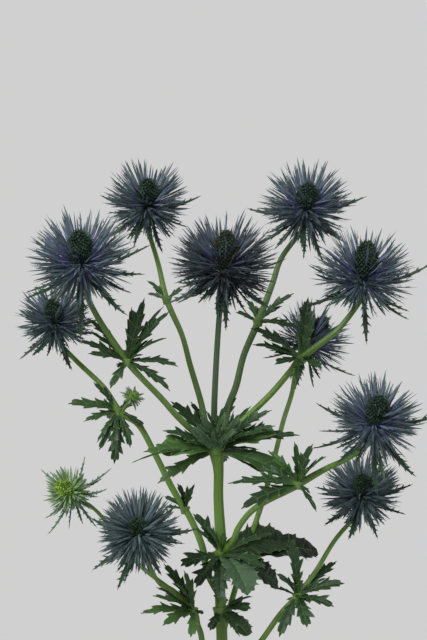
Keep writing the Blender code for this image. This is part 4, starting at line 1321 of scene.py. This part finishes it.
def cone(foot, axis, length, radius, count, ripe, draw):
    """The dark core of the cone and the florets over it."""
    turn_to = head_turn(axis)
    foot = np.array(foot, float)
    growth = Growth()
    shares = np.linspace(0, DOME - 0.02, 16)
    angle = np.arange(32) * math.tau / 32
    heights = GAP + (length - GAP) * (0.02 + 0.9 * shares)
    reach = girth(shares, radius) * 0.86
    core = np.stack([reach[:, None] * np.cos(angle), reach[:, None] * np.sin(angle),
                     np.broadcast_to(heights[:, None], (16, 32))], axis=2).reshape(-1, 3)
    core = np.vstack([core, [0, 0, heights[-1]]])
    growth.add((core @ turn_to.T + foot)[None], loft_faces(16, 32, True), 0, along=0.0, tint=0.4)
    fine = np.linspace(0, DOME, 400)
    steps = np.hypot(np.gradient(girth(fine, radius)), np.gradient(fine) * length * 0.9)
    covered = np.cumsum(girth(fine, radius) * steps)
    covered /= covered[-1]
    pattern, faces, along = FLORET
    spacing = math.sqrt(2 * math.pi * radius * 0.85 * length / count)
    copies = []
    for k in range(count):
        share = float(np.interp((k + 0.5) / count, covered, fine))
        here = float(girth(share, radius))
        slope = float(girth(share + 0.01, radius) - girth(share - 0.01, radius))
        run = 0.02 * length * 0.9
        turn = k * GOLDEN_TURN
        spoke = np.array([math.cos(turn), math.sin(turn), 0])
        out = unit(spoke * run + np.array([0, 0, -slope]))
        out = unit(out + np.array([0, 0, 0.35]))
        sideways = np.array([-spoke[1], spoke[0], 0])
        up = np.cross(out, sideways)
        size = spacing * 0.62 * draw.uniform(0.84, 1.14) * (0.75 + 0.25 * math.sin(math.pi * share / DOME))
        spin = draw.uniform(0, math.tau)
        sideways, up = (sideways * math.cos(spin) + up * math.sin(spin),
                        up * math.cos(spin) - sideways * math.sin(spin))
        base = spoke * here * 0.86 + np.array([0, 0, GAP + (length - GAP) * (0.02 + 0.9 * share)])
        copies.append(base + size * (pattern @ np.array([sideways, up, out])))
    local = np.array(copies)
    tints = np.array([draw.random() for _ in range(count)])[:, None]
    growth.add(local @ turn_to.T + foot, faces, 0, along=along[None], tint=tints, blue=ripe)
    return growth


cone_draw = random.Random(31)
for name, (foot, axis, (length, radius), *_) in HEADS.items():
    growth = cone(foot, axis, length, radius, CONE_FLORETS.get(name, FLORETS),
                  RIPE_CONES.get(name, 0.0), cone_draw)
    coat = young_floret if name == "low_left" else floret_green
    made = growth.piece("florets_" + name, [coat], "floret_green", ["cone_" + name], 30)
    print(made.name, len(made.data.polygons), "faces")

# %% [markdown]
# ## The bud
# One small head on the low left branch is still shut. It is a green bead of tight scales in
# a short star of bracts, built with the same needles as the open heads.

# %% The closed bud
def bud():
    """A bead of closed florets with a star of short green bracts."""
    turn_to = head_turn(BUD_AXIS)
    foot = np.array(BUD_FOOT, float)
    growth = Growth()
    angle = np.arange(24) * math.tau / 24
    profile = [(1.4, -BUD_SEAT), (2.4, -0.2), (BUD_RADIUS, 1.6), (BUD_RADIUS * 0.95, 3.2),
               (BUD_RADIUS * 0.7, 4.8), (0.8, 5.8)]
    rings = np.array([np.stack([r * np.cos(angle), r * np.sin(angle), np.full(24, z)], axis=1)
                      for r, z in profile])
    growth.add((rings.reshape(-1, 3) @ turn_to.T + foot)[None], loft_faces(len(profile), 24, False), 1,
               along=0.4, tint=0.5)
    tree = neighbours_of({"bud"})
    rows = []
    directions = [(level, slope, turn, 1.0) for level, slope, turn
                  in needle_directions(14, math.radians(40), math.radians(95), draw)]
    directions += [(level, slope, turn, 0.75) for level, slope, turn
                   in spiral_directions(60, math.radians(8), math.radians(98), fill)]
    for level, slope, turn, share in directions:
        spoke = np.array([math.cos(turn), math.sin(turn), 0])
        root = turn_to @ (spoke * BUD_RADIUS * 0.4 + np.array([0, 0, 2.2 - 1.4 * level])) + foot
        tip = turn_to @ (pointing(slope, turn) * 8.5 * share) + foot
        if is_clear(tree, root, tip, 1.0, 0.4):
            rows.append((root, tip, 1.5, turn_to @ np.array([0, 0, 1.0]) + turn_to @ spoke * 0.3, 0.05,
                         fill.random(), 0.1))
    roots, tips, widths, upward, bows, tints, blues = (np.array(column) for column in zip(*rows))
    needle_bed(growth, roots, tips, widths, upward, bows, 0, tint=tints[:, None], blue=blues[:, None])
    return growth


made = bud().piece("closed_bud", [young_bract, young_floret], "bract_young_green", ["bud"], 30)
print(made.name, len(made.data.polygons), "faces")

# %% [markdown]
# ## The bottle and its water
# The bottle is a plain round one: a straight body, a curved shoulder, a short neck and a
# rolled lip. It is turned from one profile, outside and inside in one closed line, with the
# corners rounded by short arcs. The water's profile climbs a little at the glass, as real
# water does, and the stems are cut out of it with a hair's room.

# %% Turn a rounded profile
BOTTLE_HEIGHT = 200.0
BOTTLE_RADIUS = 38.0
BOTTLE_WALL = 3.0
BOTTLE_FLOOR = 5.0
BODY_TOP = 122.0
NECK_START = 160.0
NECK_RADIUS = 19.0
LIP_RADIUS = 21.5
LIP_HEIGHT = 9.0
WATER_TOP = 112.0
TURNED_SIDES = 96


def turned(name, profile):
    """A closed skin turned round Z from (radius, height) pairs that start and end on the axis."""
    angle = np.arange(TURNED_SIDES) * math.tau / TURNED_SIDES
    inner = profile[1:-1]
    rings = np.array([np.stack([r * np.cos(angle), r * np.sin(angle), np.full(TURNED_SIDES, z)], axis=1)
                      for r, z in inner])
    points = np.vstack([[0, 0, profile[0][1]], rings.reshape(-1, 3), [0, 0, profile[-1][1]]]) * MM
    faces = []
    for k in range(TURNED_SIDES):
        after = (k + 1) % TURNED_SIDES
        faces.append([0, 1 + after, 1 + k])
        for i in range(len(inner) - 1):
            here = 1 + i * TURNED_SIDES
            faces.append([here + k, here + after, here + after + TURNED_SIDES, here + k + TURNED_SIDES])
        last = 1 + (len(inner) - 1) * TURNED_SIDES
        faces.append([last + k, last + after, len(points) - 1])
    mesh = bpy.data.meshes.new(name)
    mesh.from_pydata(points.tolist(), [], faces)
    mesh.shade_smooth()
    mesh.set_sharp_from_angle(angle=math.radians(60))
    made = bpy.data.objects.new(name, mesh)
    bpy.context.scene.collection.objects.link(made)
    return made


def arc(centre, radius, start, end, steps):
    """Points on a corner's arc, its angles in degrees from the radius direction."""
    turns = [math.radians(start + (end - start) * k / steps) for k in range(steps + 1)]
    return [(centre[0] + radius * math.cos(t), centre[1] + radius * math.sin(t)) for t in turns]


def shoulder(offset):
    """The curve from the straight body up to the neck, moved in by an offset."""
    steps = 18
    found = []
    for k in range(1, steps + 1):
        turn = (1 - math.cos(math.pi * k / steps)) / 2
        height = BODY_TOP + (NECK_START - BODY_TOP) * k / steps
        found.append((BOTTLE_RADIUS + (NECK_RADIUS - BOTTLE_RADIUS) * turn - offset, height))
    return found


outside = [(0, 1.2), (20, 0.9), (BOTTLE_RADIUS - 5.5, 0.1), *arc((BOTTLE_RADIUS - 3, 3), 3, -90, 0, 8)]
outside += [(BOTTLE_RADIUS, BODY_TOP * share) for share in (0.25, 0.5, 0.75, 1.0)] + shoulder(0)
lip_foot = BOTTLE_HEIGHT - LIP_HEIGHT
outside += [(NECK_RADIUS, lip_foot - 2), *arc((LIP_RADIUS - 2.5, lip_foot + 2.2), 2.5, -80, 0, 8)]
outside += arc((LIP_RADIUS - 3, BOTTLE_HEIGHT - 3), 3, 0, 90, 8)
bore = NECK_RADIUS - BOTTLE_WALL
inside = arc((bore + 2, BOTTLE_HEIGHT - 2), 2, 90, 180, 8) + [(bore, NECK_START + 12)]
inside += list(reversed(shoulder(BOTTLE_WALL)))
well = BOTTLE_RADIUS - BOTTLE_WALL
inside += [(well, BODY_TOP * share) for share in (1.0, 0.6, 0.3)]
inside += arc((well - 4, BOTTLE_FLOOR + 4), 4, 0, -90, 8) + [(0, BOTTLE_FLOOR)]
bottle = turned("glass_bottle", outside + inside)
bottle.data.materials.append(bottle_glass)
placed(bottle, ["bottle"])
print(bottle.name, len(bottle.data.polygons), "faces")

# %% Water with a hole round each stem
def fill_water():
    """Water up to its line, raised a little at the glass, with room for the stems."""
    radius = well - GAP
    foot = BOTTLE_FLOOR + GAP
    profile = [(0, foot), *arc((radius - 3.8, foot + 3.8), 3.8, -90, 0, 8), (radius, WATER_TOP / 2)]
    profile += [(radius, WATER_TOP + 0.9), (radius - 0.8, WATER_TOP + 0.25), (radius - 2.2, WATER_TOP - 0.1)]
    profile += [(radius * 0.5, WATER_TOP - 0.1), (0, WATER_TOP - 0.1)]
    made = turned("water_fill", profile)
    cutters = [stem_tube("cutter", routes[0][:3], 0.2, 20, 6.0, 0.0) for routes in ROUTES.values()]
    joined(made, cutters, "DIFFERENCE")
    made.data.materials.clear()
    made.data.materials.append(clear_water)
    return placed(made, ["water"])


water = fill_water()
print(water.name, len(water.data.polygons), "faces")

# %% [markdown]
# ## Floor and light
# The spray stands on a plain pale floor that fades into an even light grey all round, so the
# camera sees the same quiet ground in every direction. One large soft light from the front
# left models the heads, and a weaker one from the right keeps the shadows open.

# %% A pale floor that fades out
FLOOR_SOLID = 0.55
FLOOR_END = 1.35
GROUND_GREY = srgb(209, 208, 208)


def floor_finish():
    """Matt pale grey that fades to nothing with distance from the bottle."""
    made, tree, shader = new_finish("pale_floor", 0.85, 0.1)
    place = node(tree, "ShaderNodeTexCoord").outputs["Object"]
    distance = node(tree, "ShaderNodeVectorMath", {0: place}, operation="LENGTH").outputs["Value"]
    grain = use_group(tree, plant_grain, Scale=60.0)
    paler = blended(tree, sum_of(tree, "MULTIPLY", grain["Mottle"], 0.15), srgb(206, 206, 206),
                    srgb(212, 212, 212))
    tree.links.new(paler, shader.inputs["Base Color"])
    fade = eased(tree, distance, FLOOR_SOLID, FLOOR_END)
    tree.links.new(sum_of(tree, "SUBTRACT", 1.0, fade), shader.inputs["Alpha"])
    return made


bpy.ops.mesh.primitive_circle_add(vertices=96, radius=FLOOR_END, fill_type="NGON", location=(0, 0, -0.0005))
floor = bpy.context.active_object
floor.name = "pale_floor"
floor.data.materials.append(floor_finish())
floor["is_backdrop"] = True
print("floor radius", FLOOR_END)

# %% Even grey surroundings and two soft lights
SKY_SHARE = 0.62
world = bpy.data.worlds.new("quiet_grey")
bpy.context.scene.world = world
world.use_nodes = True
backdrop = world.node_tree.nodes["Background"]
backdrop.inputs["Color"].default_value = GROUND_GREY
ray = node(world.node_tree, "ShaderNodeLightPath")
looked_at = sum_of(world.node_tree, "MAXIMUM", ray.outputs["Is Camera Ray"], ray.outputs["Is Transmission Ray"])
strength = sum_of(world.node_tree, "MULTIPLY_ADD", looked_at, 1 - SKY_SHARE, SKY_SHARE)
world.node_tree.links.new(strength, backdrop.inputs["Strength"])
bpy.context.scene.view_settings.view_transform = "Standard"
SPRAY_MIDDLE = Vector((0, 0, 0.36))


def soft_light(name, place, size, power):
    """A square area light that looks at the middle of the spray."""
    lamp = bpy.data.lights.new(name, "AREA")
    lamp.size = size
    lamp.energy = power
    made = bpy.data.objects.new(name, lamp)
    bpy.context.scene.collection.objects.link(made)
    made.location = place
    made.rotation_euler = (SPRAY_MIDDLE - made.location).to_track_quat("-Z", "Y").to_euler()
    return made


soft_light("front_left", Vector((-1.3, -1.6, 2.0)), 1.1, 48)
soft_light("right_fill", Vector((1.9, -0.9, 1.4)), 1.4, 10)
print("lights: 2")

# %% Write the boxes and finish
low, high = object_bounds()
for side, (cad, seen) in {"low": (cad_low, low), "high": (cad_high, high)}.items():
    print(side, "solids", [round(v * 1000, 1) for v in cad], "visual", [round(v * 1000, 1) for v in seen])
